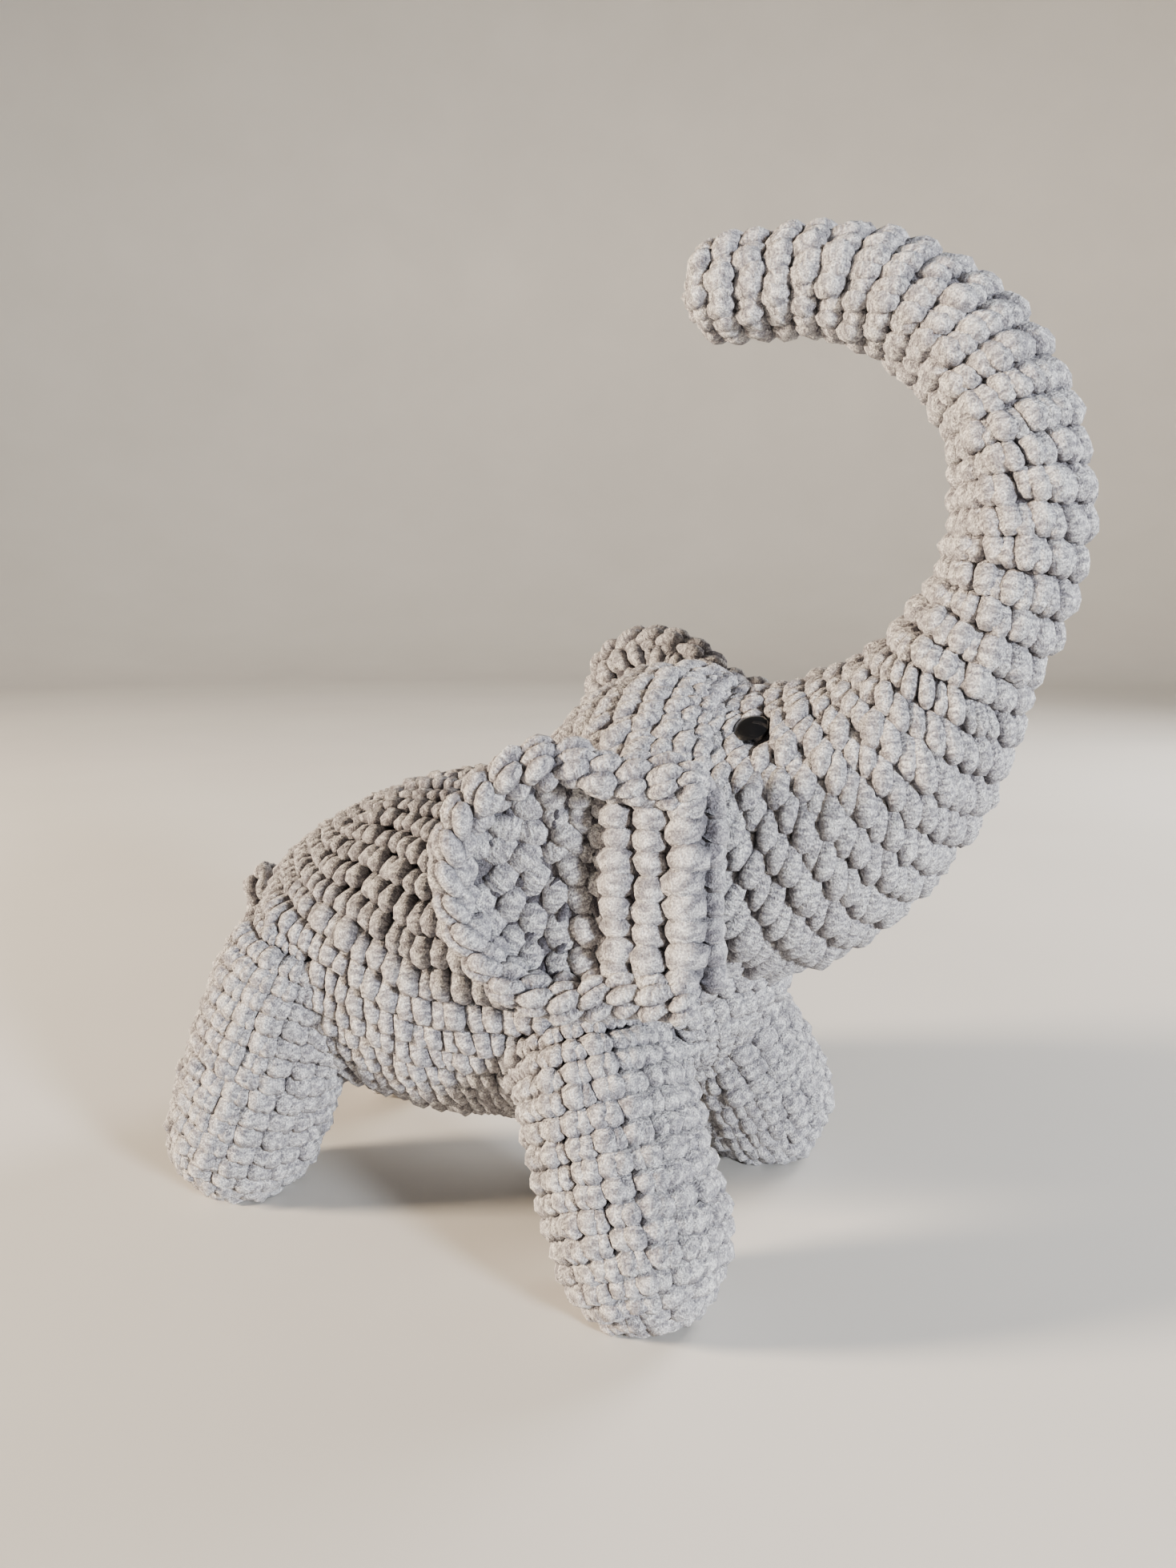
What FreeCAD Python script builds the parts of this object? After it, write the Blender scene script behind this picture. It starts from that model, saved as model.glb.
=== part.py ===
"""Stuffed crochet elephant with a raised trunk, as a parametric FreeCAD document.

The elephant faces -Y, +Z is up, and it stands on the plane Z = 0. The sheet measures
lengths along Y from the line through the middles of the front soles; the origin of the
model lies below the middle of the overall length, `mid_length` behind that line.

The fabric pieces are hollow shells, one stitch thick, and the stuffing is a separate solid
inside each of them. Where a soft piece bends, the two sides meet in a ball and a cup.
"""
import FreeCAD, Part

import math
import os

import Sketcher

doc = FreeCAD.newDocument("crochet_elephant")
V = FreeCAD.Vector

# ---------------------------------------------------------------- driving dimensions, mm
DIMENSIONS = [
    ("fabric_wall", 7.0, "thickness of the crocheted fabric of the body, legs and head"),
    ("trunk_wall", 5.5, "thickness of the fabric of the trunk, where the stitches are tighter"),
    ("fill_gap", 0.3, "room between a shell and the stuffing inside it"),
    ("joint_gap", 0.4, "room between a ball and its cup"),
    ("mid_length", 47.1, "front soles to the middle of the overall length"),
    # body: an egg that slopes down to the rump
    ("body_y", 76.0, "middle of the body behind the front soles"),
    ("body_z", 89.7, "height of the middle of the body"),
    ("body_half_width", 65.5, "half the width of the body"),
    ("body_half_length", 105.0, "half the length of the body"),
    ("body_half_height", 62.0, "half the height of the body"),
    ("body_pitch", -7.8, "slope of the body's long axis, in degrees"),
    # legs: round columns that lean inward and toward the middle
    ("leg_radius", 29.6, "half the thickness of a leg"),
    ("sole_rise", 23.0, "height of the middle of the foot's round"),
    ("front_hip_z", 62.0, "height of the middle of the round at the top of a front leg"),
    ("hind_hip_z", 78.0, "height of the same on a hind leg"),
    ("front_foot_x", 56.6, "front sole beside the centre line"),
    ("front_hip_x", 45.0, "front leg's top beside the centre line"),
    ("front_hip_y", 18.5, "front leg's top behind the front soles"),
    ("hind_foot_x", 49.0, "hind sole beside the centre line"),
    ("hind_foot_y", 156.5, "hind sole behind the front soles"),
    ("hind_hip_x", 42.0, "hind leg's top beside the centre line"),
    ("hind_hip_y", 138.0, "hind leg's top behind the front soles"),
    # head: a ball that sits in a cup in the body, drawn out forward into the trunk
    ("head_y", 8.2, "middle of the head ball"),
    ("head_z", 134.7, "height of the middle of the head ball"),
    ("head_radius", 52.0, "radius of the head ball"),
    ("throat_y", -18.0, "middle of the hollow that the body leaves for the chin"),
    ("throat_z", 132.0, "height of the middle of that hollow"),
    ("throat_radius", 53.8, "radius of that hollow"),
    ("cheek_y", -16.9, "first round ahead of the ball"),
    ("cheek_z", 135.3, "its height"),
    ("cheek_radius", 46.3, "its radius"),
    ("cheek_heading", 168.0, "its heading, in degrees up from +Y"),
    ("brow_y", -37.8, "second round"),
    ("brow_z", 146.3, "its height"),
    ("brow_radius", 40.0, "its radius"),
    ("brow_heading", 149.0, "its heading, in degrees"),
    ("snout_y", -52.3, "third round"),
    ("snout_z", 158.2, "its height"),
    ("snout_radius", 33.5, "its radius"),
    ("snout_heading", 137.0, "its heading, in degrees"),
    ("muzzle_y", -65.3, "fourth round"),
    ("muzzle_z", 172.3, "its height"),
    ("muzzle_radius", 27.6, "its radius"),
    ("muzzle_heading", 132.0, "its heading, in degrees"),
    # trunk: an arc about a point over the head, then a short straight end
    ("arc_y", -21.5, "middle of the trunk's arc"),
    ("arc_z", 232.0, "height of the middle of the arc"),
    ("arc_radius", 67.3, "radius of the trunk's centre line"),
    ("root_angle", 212.0, "place of the trunk's root bend on the arc, in degrees from +Y"),
    ("mid_angle", 172.0, "place of the middle bend"),
    ("tip_angle", 130.0, "place of the tip bend"),
    ("straight_angle", 90.0, "where the arc runs into the straight end"),
    ("root_rim", 7.5, "arc left free before the root bend, in degrees"),
    ("mid_rim", 9.0, "arc left free before the middle bend"),
    ("tip_rim", 9.0, "arc left free before the tip bend"),
    ("root_radius", 19.4, "radius of the trunk at the root bend"),
    ("mid_radius", 17.8, "radius at the middle bend"),
    ("tip_radius", 16.2, "radius at the tip bend"),
    ("end_radius", 14.7, "radius of the straight end"),
    ("straight_run", 19.3, "length of the straight end before its round"),
    # ears: shallow bowls with a straight folded edge, sewn on down that edge
    # the left ear is sewn on higher and further back than the right one
    ("ear_right_x", 55.9, "back of the right ear beside the centre line"),
    ("ear_right_y", 22.6, "its middle behind the front soles"),
    ("ear_right_z", 131.0, "height of its middle"),
    ("ear_right_lean", 0.0, "lean of its upper edge over the head, in degrees"),
    ("ear_right_tilt", 0.0, "turn of its rear edge upward, in degrees"),
    ("ear_left_x", 54.8, "back of the left ear beside the centre line"),
    ("ear_left_y", 48.1, "its middle behind the front soles"),
    ("ear_left_z", 157.0, "height of its middle"),
    ("ear_left_lean", 12.0, "lean of its upper edge over the head, in degrees"),
    ("ear_left_tilt", -26.0, "turn of its rear edge upward, in degrees"),
    ("ear_turn", 14.0, "turn of an ear's rear edge away from the head, in degrees"),
    ("ear_radius", 37.5, "radius of the ear's round outline"),
    ("ear_wall", 9.0, "thickness of the ear"),
    ("ear_bowl", 133.0, "radius of the ear's hollow side"),
    ("fold_radius", 7.5, "radius of the folded edge"),
    ("fold_length", 55.0, "length of the folded edge"),
    ("fold_reach", 37.2, "middle of the ear to the middle of the folded edge"),
    ("fold_height", 11.5, "middle of the folded edge above the back of the ear"),
    # eyes: domes on a stem, each held by a washer inside the head
    ("eye_radius", 5.4, "radius of the eye's dome"),
    ("eye_height", 3.0, "height of the dome"),
    ("eye_sink", 2.0, "depth of the eye's seat in the fabric"),
    ("eye_along", 57.0, "the eye ahead of the middle of the head ball"),
    ("stem_radius", 1.8, "radius of the stem"),
    ("stem_length", 12.5, "length of the stem"),
    ("washer_radius", 6.0, "radius of the washer"),
    ("washer_thickness", 1.8, "thickness of the washer"),
    # tail: a short crocheted cord
    ("tail_y", 185.8, "root of the tail behind the front soles"),
    ("tail_z", 98.0, "height of the root of the tail"),
    ("tail_radius", 6.5, "half the thickness of the tail"),
    ("tail_length", 50.0, "length of the tail between its rounds"),
    ("tail_lean", 10.0, "lean of the hanging tail away from the rump, in degrees"),
]
sheet = doc.addObject("Spreadsheet::Sheet", "dims")
for row, (alias, value, meaning) in enumerate(DIMENSIONS, start=1):
    sheet.set(f"A{row}", meaning)
    sheet.set(f"B{row}", str(value))
    sheet.setAlias(f"B{row}", alias)
doc.recompute()


def size(alias):
    """The value of one dimension, for the few places that expressions can't reach."""
    return float(sheet.get(alias))


def name(alias):
    return f"dims.{alias}"


def along(alias):
    """A length along Y measured from the front soles, as an expression in the model's frame."""
    return f"dims.{alias} - dims.mid_length"


# ---------------------------------------------------------------- small building blocks
def make(kind, label, place=("0", "0", "0"), turn_x=None, **sizes):
    """Add an object, bind its sizes and its place, and turn it about X if asked."""
    item = doc.addObject(kind, label)
    item.Label = label
    for prop, expression in sizes.items():
        item.setExpression(prop, expression)
    for axis, expression in zip("xyz", place):
        item.setExpression(f"Placement.Base.{axis}", expression)
    if turn_x is not None:
        for axis, part in zip("xyz", "100"):
            item.setExpression(f"Placement.Rotation.Axis.{axis}", part)
        item.setExpression("Placement.Rotation.Angle", turn_x)
    return item


def ball(label, place, radius):
    return make("Part::Sphere", label, place, Radius=radius)


def cut(label, base, tool):
    item = doc.addObject("Part::Cut", label)
    item.Label = label
    item.Base, item.Tool = base, tool
    return item


def join(label, *pieces):
    item = doc.addObject("Part::MultiFuse", label)
    item.Label = label
    item.Shapes = list(pieces)
    return item


def station(label, place, radius, heading):
    """A circle across the centre line, whose normal points along `heading` in the YZ plane."""
    return make("Part::Circle", label, place, turn_x=f"{heading} - 90", Radius=radius)


def tube(label, stations, inset):
    """A solid lofted through circles, each smaller than its station by `inset`."""
    circles = [
        station(f"{label}_round_{k}", place, f"{radius} - {inset}", heading)
        for k, (place, radius, heading) in enumerate(stations)
    ]
    item = doc.addObject("Part::Loft", label)
    item.Label = label
    item.Sections = circles
    item.Solid, item.Ruled, item.Closed = True, False, False
    return item


def on_arc(angle):
    """The place of a point of the trunk's arc, as expressions."""
    return (
        "0",
        f"dims.arc_y - dims.mid_length + dims.arc_radius * cos({angle} * 1deg)",
        f"dims.arc_z + dims.arc_radius * sin({angle} * 1deg)",
    )


# ---------------------------------------------------------------- body
BODY_PLACE = ("0", along("body_y"), name("body_z"))
HEAD_PLACE = ("0", along("head_y"), name("head_z"))


def body_egg(label, inset):
    return make(
        "Part::Ellipsoid", label, BODY_PLACE, turn_x=name("body_pitch"),
        Radius1=f"dims.body_half_height - {inset}",
        Radius2=f"dims.body_half_width - {inset}",
        Radius3=f"dims.body_half_length - {inset}",
    )


def body_layer(label, inset, cup_growth):
    """The egg less the cup that the head ball sits in, which runs on forward under the chin."""
    cup = ball(f"{label}_cup", HEAD_PLACE, f"dims.head_radius + dims.joint_gap + {cup_growth}")
    throat = ball(f"{label}_throat", ("0", along("throat_y"), name("throat_z")),
                  f"dims.throat_radius + {cup_growth}")
    return cut(label, body_egg(f"{label}_egg", inset), join(f"{label}_seat", cup, throat))


body_shell = cut(
    "body_shell",
    body_layer("body_outside", "0", "0"),
    body_layer("body_inside", "dims.fabric_wall", "dims.fabric_wall"),
)
FILL = "(dims.fabric_wall + dims.fill_gap)"
body_stuffing = body_layer("body_stuffing", FILL, FILL)


# ---------------------------------------------------------------- legs
def leg_layer(label, side, pair, inset, sole_z):
    """A leaning round column with round ends, flat at `sole_z`, that stops at the body."""
    foot_y = along("hind_foot_y") if pair == "hind" else "0 - dims.mid_length"
    foot = (f"{side} * dims.{pair}_foot_x", foot_y, name("sole_rise"))
    hip = (f"{side} * dims.{pair}_hip_x", along(f"{pair}_hip_y"), name(f"{pair}_hip_z"))
    radius = f"dims.leg_radius - {inset}"
    foot_ball = ball(f"{label}_foot", foot, radius)
    hip_ball = ball(f"{label}_hip", hip, radius)
    column = make("Part::Cylinder", f"{label}_column", foot, Radius=radius)

    foot_point = V(side * size(f"{pair}_foot_x"),
                   size("hind_foot_y") if pair == "hind" else 0.0, size("sole_rise"))
    hip_point = V(side * size(f"{pair}_hip_x"), size(f"{pair}_hip_y"),
                  size(f"{pair}_hip_z"))
    lean = FreeCAD.Rotation(V(0, 0, 1), hip_point - foot_point)
    column.Placement = FreeCAD.Placement(V(), lean)
    rise = f"(dims.{pair}_hip_z - dims.sole_rise)"
    run_x = f"(dims.{pair}_foot_x - dims.{pair}_hip_x)"
    run_y = "(dims.hind_foot_y - dims.hind_hip_y)" if pair == "hind" else "dims.front_hip_y"
    column.setExpression("Height", f"sqrt({rise}^2 + {run_x}^2 + {run_y}^2)")

    floor = make("Part::Box", f"{label}_floor",
                 (f"{foot[0]} - 2 * dims.leg_radius", f"{foot_y} - 2 * dims.leg_radius",
                  f"{sole_z} - 2 * dims.leg_radius"),
                 Length="4 * dims.leg_radius", Width="4 * dims.leg_radius",
                 Height="2 * dims.leg_radius")
    body_side = body_egg(f"{label}_body_side", "(0 - dims.fill_gap)")
    away = join(f"{label}_away", floor, body_side)
    return cut(label, join(f"{label}_whole", foot_ball, column, hip_ball), away)


legs = []
for pair in ("front", "hind"):
    for side_name, side in (("right", -1), ("left", 1)):
        leg = f"{pair}_{side_name}_leg"
        shell = cut(f"{leg}_shell",
                    leg_layer(f"{leg}_outside", side, pair, "0", "0"),
                    leg_layer(f"{leg}_inside", side, pair, "dims.fabric_wall",
                              "dims.fabric_wall"))
        stuffing = leg_layer(f"{leg}_stuffing", side, pair, FILL, FILL)
        legs += [shell, stuffing]


# ---------------------------------------------------------------- head
def bend_ball(label, bend, growth):
    """The ball at one of the trunk's bends."""
    return ball(label, on_arc(name(f"{bend}_angle")), f"dims.{bend}_radius + {growth}")


HEAD_STATIONS = [(HEAD_PLACE, name("head_radius"), "180")] + [
    (("0", along(f"{part}_y"), name(f"{part}_z")), name(f"{part}_radius"), name(f"{part}_heading"))
    for part in ("cheek", "brow", "snout", "muzzle")
] + [(
    on_arc("(dims.root_angle + dims.root_rim)"),
    "dims.root_radius + 2", "(dims.root_angle + dims.root_rim - 90)",
)]


def head_layer(label, inset, tube_inset):
    """The head ball and the cone in front of it, less the cup of the trunk's root bend."""
    whole = join(f"{label}_whole",
                 ball(f"{label}_ball", HEAD_PLACE, f"dims.head_radius - {inset}"),
                 tube(f"{label}_cone", HEAD_STATIONS, tube_inset))
    return cut(label, whole, bend_ball(f"{label}_root_cup", "root", "dims.joint_gap"))


# The eyes look up and out. Each sits on the head's own surface, which is found by probing.
head_outside = head_layer("head_outside", "0", "0")
doc.recompute()
EYE_DIRECTION = V(0.613, 0.067, 0.787)     # outward normal of the head at the left eye


def eye_placement(side):
    outward = V(side * EYE_DIRECTION.x, EYE_DIRECTION.y, EYE_DIRECTION.z).normalize()
    target = V(side * 26.0, size("head_y") - size("mid_length") - 0.5 * size("eye_along"), 170.0)
    ray = Part.makeLine(target - outward * 30, target + outward * 40)
    hits = head_outside.Shape.common(ray).Vertexes
    surface = max((vertex.Point for vertex in hits), key=lambda point: point.dot(outward))
    return FreeCAD.Placement(surface, FreeCAD.Rotation(V(0, 0, 1), outward))


def eye_tool(label, side, radius, low, height):
    """A cylinder on the axis of an eye, from `low` above the fabric's surface."""
    tool = doc.addObject("Part::Cylinder", label)
    tool.setExpression("Radius", radius)
    tool.setExpression("Height", height)
    eye = eye_placement(side)
    tool.Placement = FreeCAD.Placement(eye.multVec(V(0, 0, low)), eye.Rotation)
    return tool


eye_seats = join("eye_seats", *[
    eye_tool(f"eye_{what}_{tag}", side, radius, low, height)
    for tag, side in (("right", -1), ("left", 1))
    for what, radius, low, height in (
        ("seat", "dims.eye_radius + dims.fill_gap", -size("eye_sink"), "10"),
        ("stem_hole", "dims.stem_radius + 0.2", -15, "20"),
    )
])
head_shell = cut(
    "head_shell", head_outside,
    join("head_hollows", head_layer("head_inside", "dims.fabric_wall", "dims.fabric_wall"),
         eye_seats),
)
washer_pockets = join("washer_pockets", *[
    eye_tool(f"washer_pocket_{tag}", side, "dims.washer_radius + dims.fill_gap", -17, "17")
    for tag, side in (("right", -1), ("left", 1))
])
head_stuffing = cut("head_stuffing", head_layer("head_filling", FILL, FILL), washer_pockets)


# ---------------------------------------------------------------- trunk
def trunk_stations(start, end, end_rim, steps=3):
    """Circles from one bend to just before the next, with an even taper."""
    stations = []
    for k in range(steps + 1):
        share = f"{k} / {steps}"
        angle = (f"(dims.{start}_angle + (dims.{end}_angle + {end_rim} - dims.{start}_angle)"
                 f" * {share})")
        stations.append((on_arc(angle), taper(start, end, share), f"({angle} - 90)"))
    return stations


def taper(start, end, share):
    """An even taper that starts a little inside the ball of its own bend."""
    end_radius = name("end_radius") if end == "straight" else name(f"{end}_radius")
    return (f"dims.{start}_radius - 0.3"
            f" + ({end_radius} - dims.{start}_radius + 0.3) * {share}")


def straight_place(run):
    """A point on the trunk's straight end, `run` past the arc."""
    return ("0", f"dims.arc_y - dims.mid_length + {run}", "dims.arc_z + dims.arc_radius")


def trunk_layer(label, start, end, inset):
    """One length of the trunk: a ball at its own bend, and a cup for the next one."""
    own_ball = bend_ball(f"{label}_ball", start, f"0 - {inset}")
    if end:
        stations = trunk_stations(start, end, name(f"{end}_rim"))
        whole = join(f"{label}_whole", own_ball, tube(f"{label}_tube", stations, inset))
        return cut(label, whole, bend_ball(f"{label}_cup", end, "dims.joint_gap"))
    stations = trunk_stations(start, "straight", "0", steps=4)
    stations += [
        (straight_place(f"dims.straight_run * {share}"), f"dims.end_radius - {narrowing}", "0")
        for share, narrowing in (("0.5", "0.1"), ("1", "0.5"))
    ]
    end_ball = ball(f"{label}_end", straight_place(name("straight_run")),
                    f"dims.end_radius - {inset}")
    return join(label, own_ball, tube(f"{label}_tube", stations, inset), end_ball)


trunk = []
TRUNK_FILL = "(dims.trunk_wall + dims.fill_gap)"
for part, start, end in (("lower", "root", "mid"), ("middle", "mid", "tip"), ("tip", "tip", None)):
    shell = cut(f"trunk_{part}_shell",
                trunk_layer(f"trunk_{part}_outside", start, end, "0"),
                trunk_layer(f"trunk_{part}_inside", start, end, "dims.trunk_wall"))
    stuffing = trunk_layer(f"trunk_{part}_stuffing", start, end, TRUNK_FILL)
    trunk += [shell, stuffing]


# ---------------------------------------------------------------- ears
def sketch_in(body, plane_role, label):
    sketch = body.newObject("Sketcher::SketchObject", label)
    plane = next(f for f in body.Origin.OriginFeatures if f.Role == plane_role)
    sketch.AttachmentSupport = [(plane, "")]
    sketch.MapMode = "FlatFace"
    return sketch


def ear(side_name, side):
    """A shallow bowl, hollow side out, that ends forward in a straight folded edge.

    It is built lying down: +Z out of the hollow side, -X toward the folded edge, +Y up.
    """
    label = f"ear_{side_name}"
    outline = make("Part::Cylinder", f"{label}_outline",
                   Radius=name("ear_radius"), Height="40")
    web = make("Part::Box", f"{label}_web",
               ("0 - dims.fold_reach", "0 - dims.fold_length / 2", "0"),
               Length=name("fold_reach"), Width=name("fold_length"), Height="40")
    outside = ball(f"{label}_back", ("0", "0", "dims.ear_bowl + dims.ear_wall"),
                   "dims.ear_bowl + dims.ear_wall")
    hollow = ball(f"{label}_hollow", ("0", "0", "dims.ear_bowl + dims.ear_wall"),
                  name("ear_bowl"))
    bowl = doc.addObject("Part::MultiCommon", f"{label}_bowl")
    bowl.Shapes = [join(f"{label}_plan", outline, web),
                   cut(f"{label}_skin", outside, hollow)]
    fold_z = name("fold_height")
    fold = make("Part::Cylinder", f"{label}_fold",
                ("0 - dims.fold_reach", "dims.fold_length / 2 - dims.fold_radius", fold_z),
                turn_x="90", Radius=name("fold_radius"),
                Height="dims.fold_length - 2 * dims.fold_radius")
    ends = [ball(f"{label}_fold_{end}",
                 ("0 - dims.fold_reach",
                  f"{sign} * (dims.fold_length / 2 - dims.fold_radius)", fold_z),
                 name("fold_radius"))
            for end, sign in (("top", 1), ("bottom", -1))]
    whole = join(label, bowl, fold, *ends)

    turn, lean = math.radians(size("ear_turn")), math.radians(size(f"{label}_lean"))
    back = V(side * math.sin(turn), math.cos(turn), 0)
    level = V(side * math.cos(turn), -math.sin(turn), 0)
    out = level * math.cos(lean) + V(0, 0, 1) * math.sin(lean)
    lift = FreeCAD.Rotation(out, -side * size(f"{label}_tilt"))
    back = lift.multVec(back)
    up = out.cross(back)
    frame = FreeCAD.Matrix(back.x, up.x, out.x, 0, back.y, up.y, out.y, 0,
                           back.z, up.z, out.z, 0, 0, 0, 0, 1)
    place = V(side * size(f"{label}_x"), size(f"{label}_y") - size("mid_length"),
              size(f"{label}_z"))
    whole.Placement = FreeCAD.Placement(place, FreeCAD.Placement(frame).Rotation)
    return whole


ears = [ear("right", -1), ear("left", 1)]


# ---------------------------------------------------------------- eyes and washers
def revolved(label, profile, placement):
    """A body turned about its own Z axis from a closed profile of (radius, height) points.

    Each point may carry a third value, the name of the arc that leads to it.
    """
    body = doc.addObject("PartDesign::Body", label)
    body.Label = label
    sketch = sketch_in(body, "XZ_Plane", f"{label}_profile")
    profile(sketch)
    doc.recompute()
    turned = body.newObject("PartDesign::Revolution", f"{label}_turned")
    turned.Profile = sketch
    turned.ReferenceAxis = (sketch, ["V_Axis"])
    turned.Angle = 360.0
    body.Tip = turned
    body.Placement = placement
    return body


def closed_lines(sketch, points):
    """Join the points with lines into a closed profile and pin each end to the next."""
    count = len(points)
    for k in range(count):
        start, end = points[k], points[(k + 1) % count]
        sketch.addGeometry(Part.LineSegment(V(*start, 0), V(*end, 0)), False)
    for k in range(count):
        sketch.addConstraint(Sketcher.Constraint("Coincident", k, 2, (k + 1) % count, 1))


def pin(sketch, edge, point, x_expression, y_expression):
    """Bind one end of an edge to its distances from the sketch's axes."""
    drawn = sketch.getPoint(edge, point)
    for kind, expression, value in (("DistanceX", x_expression, drawn.x),
                                    ("DistanceY", y_expression, drawn.y)):
        index = sketch.addConstraint(Sketcher.Constraint(kind, -1, 1, edge, point, value))
        sketch.setExpression(f"Constraints[{index}]", expression)


def eye_profile(sketch):
    """Half of a dome with a stem under it: five straight sides and the arc of the crown."""
    radius, height, sink = size("eye_radius"), size("eye_height"), size("eye_sink")
    stem, length = size("stem_radius"), size("stem_length")
    base = 0.2 - sink
    shoulder = base + 0.4 * height
    corners = [(0, base + height), (0, base - length), (stem, base - length), (stem, base),
               (radius, base), (radius, shoulder)]
    for start, end in zip(corners, corners[1:]):
        sketch.addGeometry(Part.LineSegment(V(*start, 0), V(*end, 0)), False)
    crown_rise = 0.6 * height
    crown_radius = (radius**2 + crown_rise**2) / (2 * crown_rise)
    half_turn = 0.5 * math.asin(radius / crown_radius)
    middle = V(crown_radius * math.sin(half_turn),
               base + height - crown_radius * (1 - math.cos(half_turn)), 0)
    crown = Part.Arc(V(*corners[-1], 0), middle, V(*corners[0], 0))
    sketch.addGeometry(crown, False)
    for k in range(4):
        sketch.addConstraint(Sketcher.Constraint("Coincident", k, 2, k + 1, 1))
    sketch.addConstraint(Sketcher.Constraint("Coincident", 5, 1, 4, 2))
    sketch.addConstraint(Sketcher.Constraint("Coincident", 5, 2, 0, 1))
    rest = "0.2 - dims.eye_sink"
    pin(sketch, 0, 1, "0", f"{rest} + dims.eye_height")
    pin(sketch, 1, 1, "0", f"{rest} - dims.stem_length")
    pin(sketch, 2, 1, "dims.stem_radius", f"{rest} - dims.stem_length")
    pin(sketch, 3, 1, "dims.stem_radius", rest)
    pin(sketch, 4, 1, "dims.eye_radius", rest)
    pin(sketch, 4, 2, "dims.eye_radius", f"{rest} + 0.4 * dims.eye_height")


WASHER_DROP = 1.2     # the flat washer's face below the inside of the curved fabric


def washer_profile(sketch):
    """A flat ring on the stem, just inside the fabric."""
    inner, outer = size("stem_radius") + 0.05, size("washer_radius")
    top = -size("fabric_wall") - WASHER_DROP
    low = top - size("washer_thickness")
    closed_lines(sketch, [(inner, low), (outer, low), (outer, top), (inner, top)])
    top_expression = f"0 - dims.fabric_wall - {WASHER_DROP}"
    low_expression = f"{top_expression} - dims.washer_thickness"
    pin(sketch, 0, 1, "dims.stem_radius + 0.05", low_expression)
    pin(sketch, 1, 1, "dims.washer_radius", low_expression)
    pin(sketch, 2, 1, "dims.washer_radius", top_expression)
    pin(sketch, 3, 1, "dims.stem_radius + 0.05", top_expression)


eyes = []
for side_name, side in (("right", -1), ("left", 1)):
    place = eye_placement(side)
    eyes.append(revolved(f"eye_{side_name}", eye_profile, place))
    eyes.append(revolved(f"eye_washer_{side_name}", washer_profile, place))


# ---------------------------------------------------------------- tail
def tail_profile(sketch):
    """Half of a cord with two round ends, hanging down from its root at the origin."""
    radius, length = size("tail_radius"), size("tail_length")
    sketch.addGeometry(Part.LineSegment(V(0, radius, 0), V(0, -length - radius, 0)), False)
    corner = radius * math.sqrt(0.5)
    low_arc = Part.Arc(V(0, -length - radius, 0), V(corner, -length - corner, 0),
                       V(radius, -length, 0))
    top_arc = Part.Arc(V(radius, 0, 0), V(corner, corner, 0), V(0, radius, 0))
    sketch.addGeometry(low_arc, False)
    sketch.addGeometry(Part.LineSegment(V(radius, -length, 0), V(radius, 0, 0)), False)
    sketch.addGeometry(top_arc, False)
    for first, start, second, end in ((0, 2, 1, 1), (1, 2, 2, 1), (2, 2, 3, 1), (3, 2, 0, 1)):
        sketch.addConstraint(Sketcher.Constraint("Coincident", first, start, second, end))
    pin(sketch, 0, 1, "0", "dims.tail_radius")
    pin(sketch, 1, 1, "0", "0 - dims.tail_length - dims.tail_radius")
    pin(sketch, 2, 1, "dims.tail_radius", "0 - dims.tail_length")
    pin(sketch, 3, 1, "dims.tail_radius", "0")


lean = FreeCAD.Rotation(V(1, 0, 0), size("tail_lean"))
tail_root = V(0, size("tail_y") - size("mid_length"), size("tail_z"))
tail = revolved("tail", tail_profile, FreeCAD.Placement(tail_root, lean))

# ---------------------------------------------------------------- check and write
NODES = [body_shell, body_stuffing, head_shell, head_stuffing, tail] + legs + trunk + ears + eyes
doc.recompute()
for item in doc.Objects:
    if {"Invalid", "Error"} & set(item.State):
        raise RuntimeError(f"{item.Label} failed: {item.State}")
for node in NODES:
    if node.Shape.isNull() or not node.Shape.isValid():
        raise RuntimeError(f"{node.Label} has no valid shape")
    if len(node.Shape.Solids) != 1:
        raise RuntimeError(f"{node.Label} has {len(node.Shape.Solids)} solids")

os.makedirs("parts", exist_ok=True)
for node in NODES:
    node.Shape.exportStep(f"parts/{node.Label}.step")

box = FreeCAD.BoundBox()
for node in NODES:
    box.add(node.Shape.BoundBox)
    print(f"{node.Label:28s} {node.Shape.Volume / 1000:8.2f} cm3")
print("whole:", box)
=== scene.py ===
"""Looks of a stuffed crochet elephant.

Each stitch is one or two short strands of chenille yarn, laid in rounds on a skin that cloth
pressure has filled out. A closed skin lies under the strands.
"""
import math

import bpy
import numpy as np
from mathutils import Matrix, Vector
from mathutils.bvhtree import BVHTree


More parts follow.
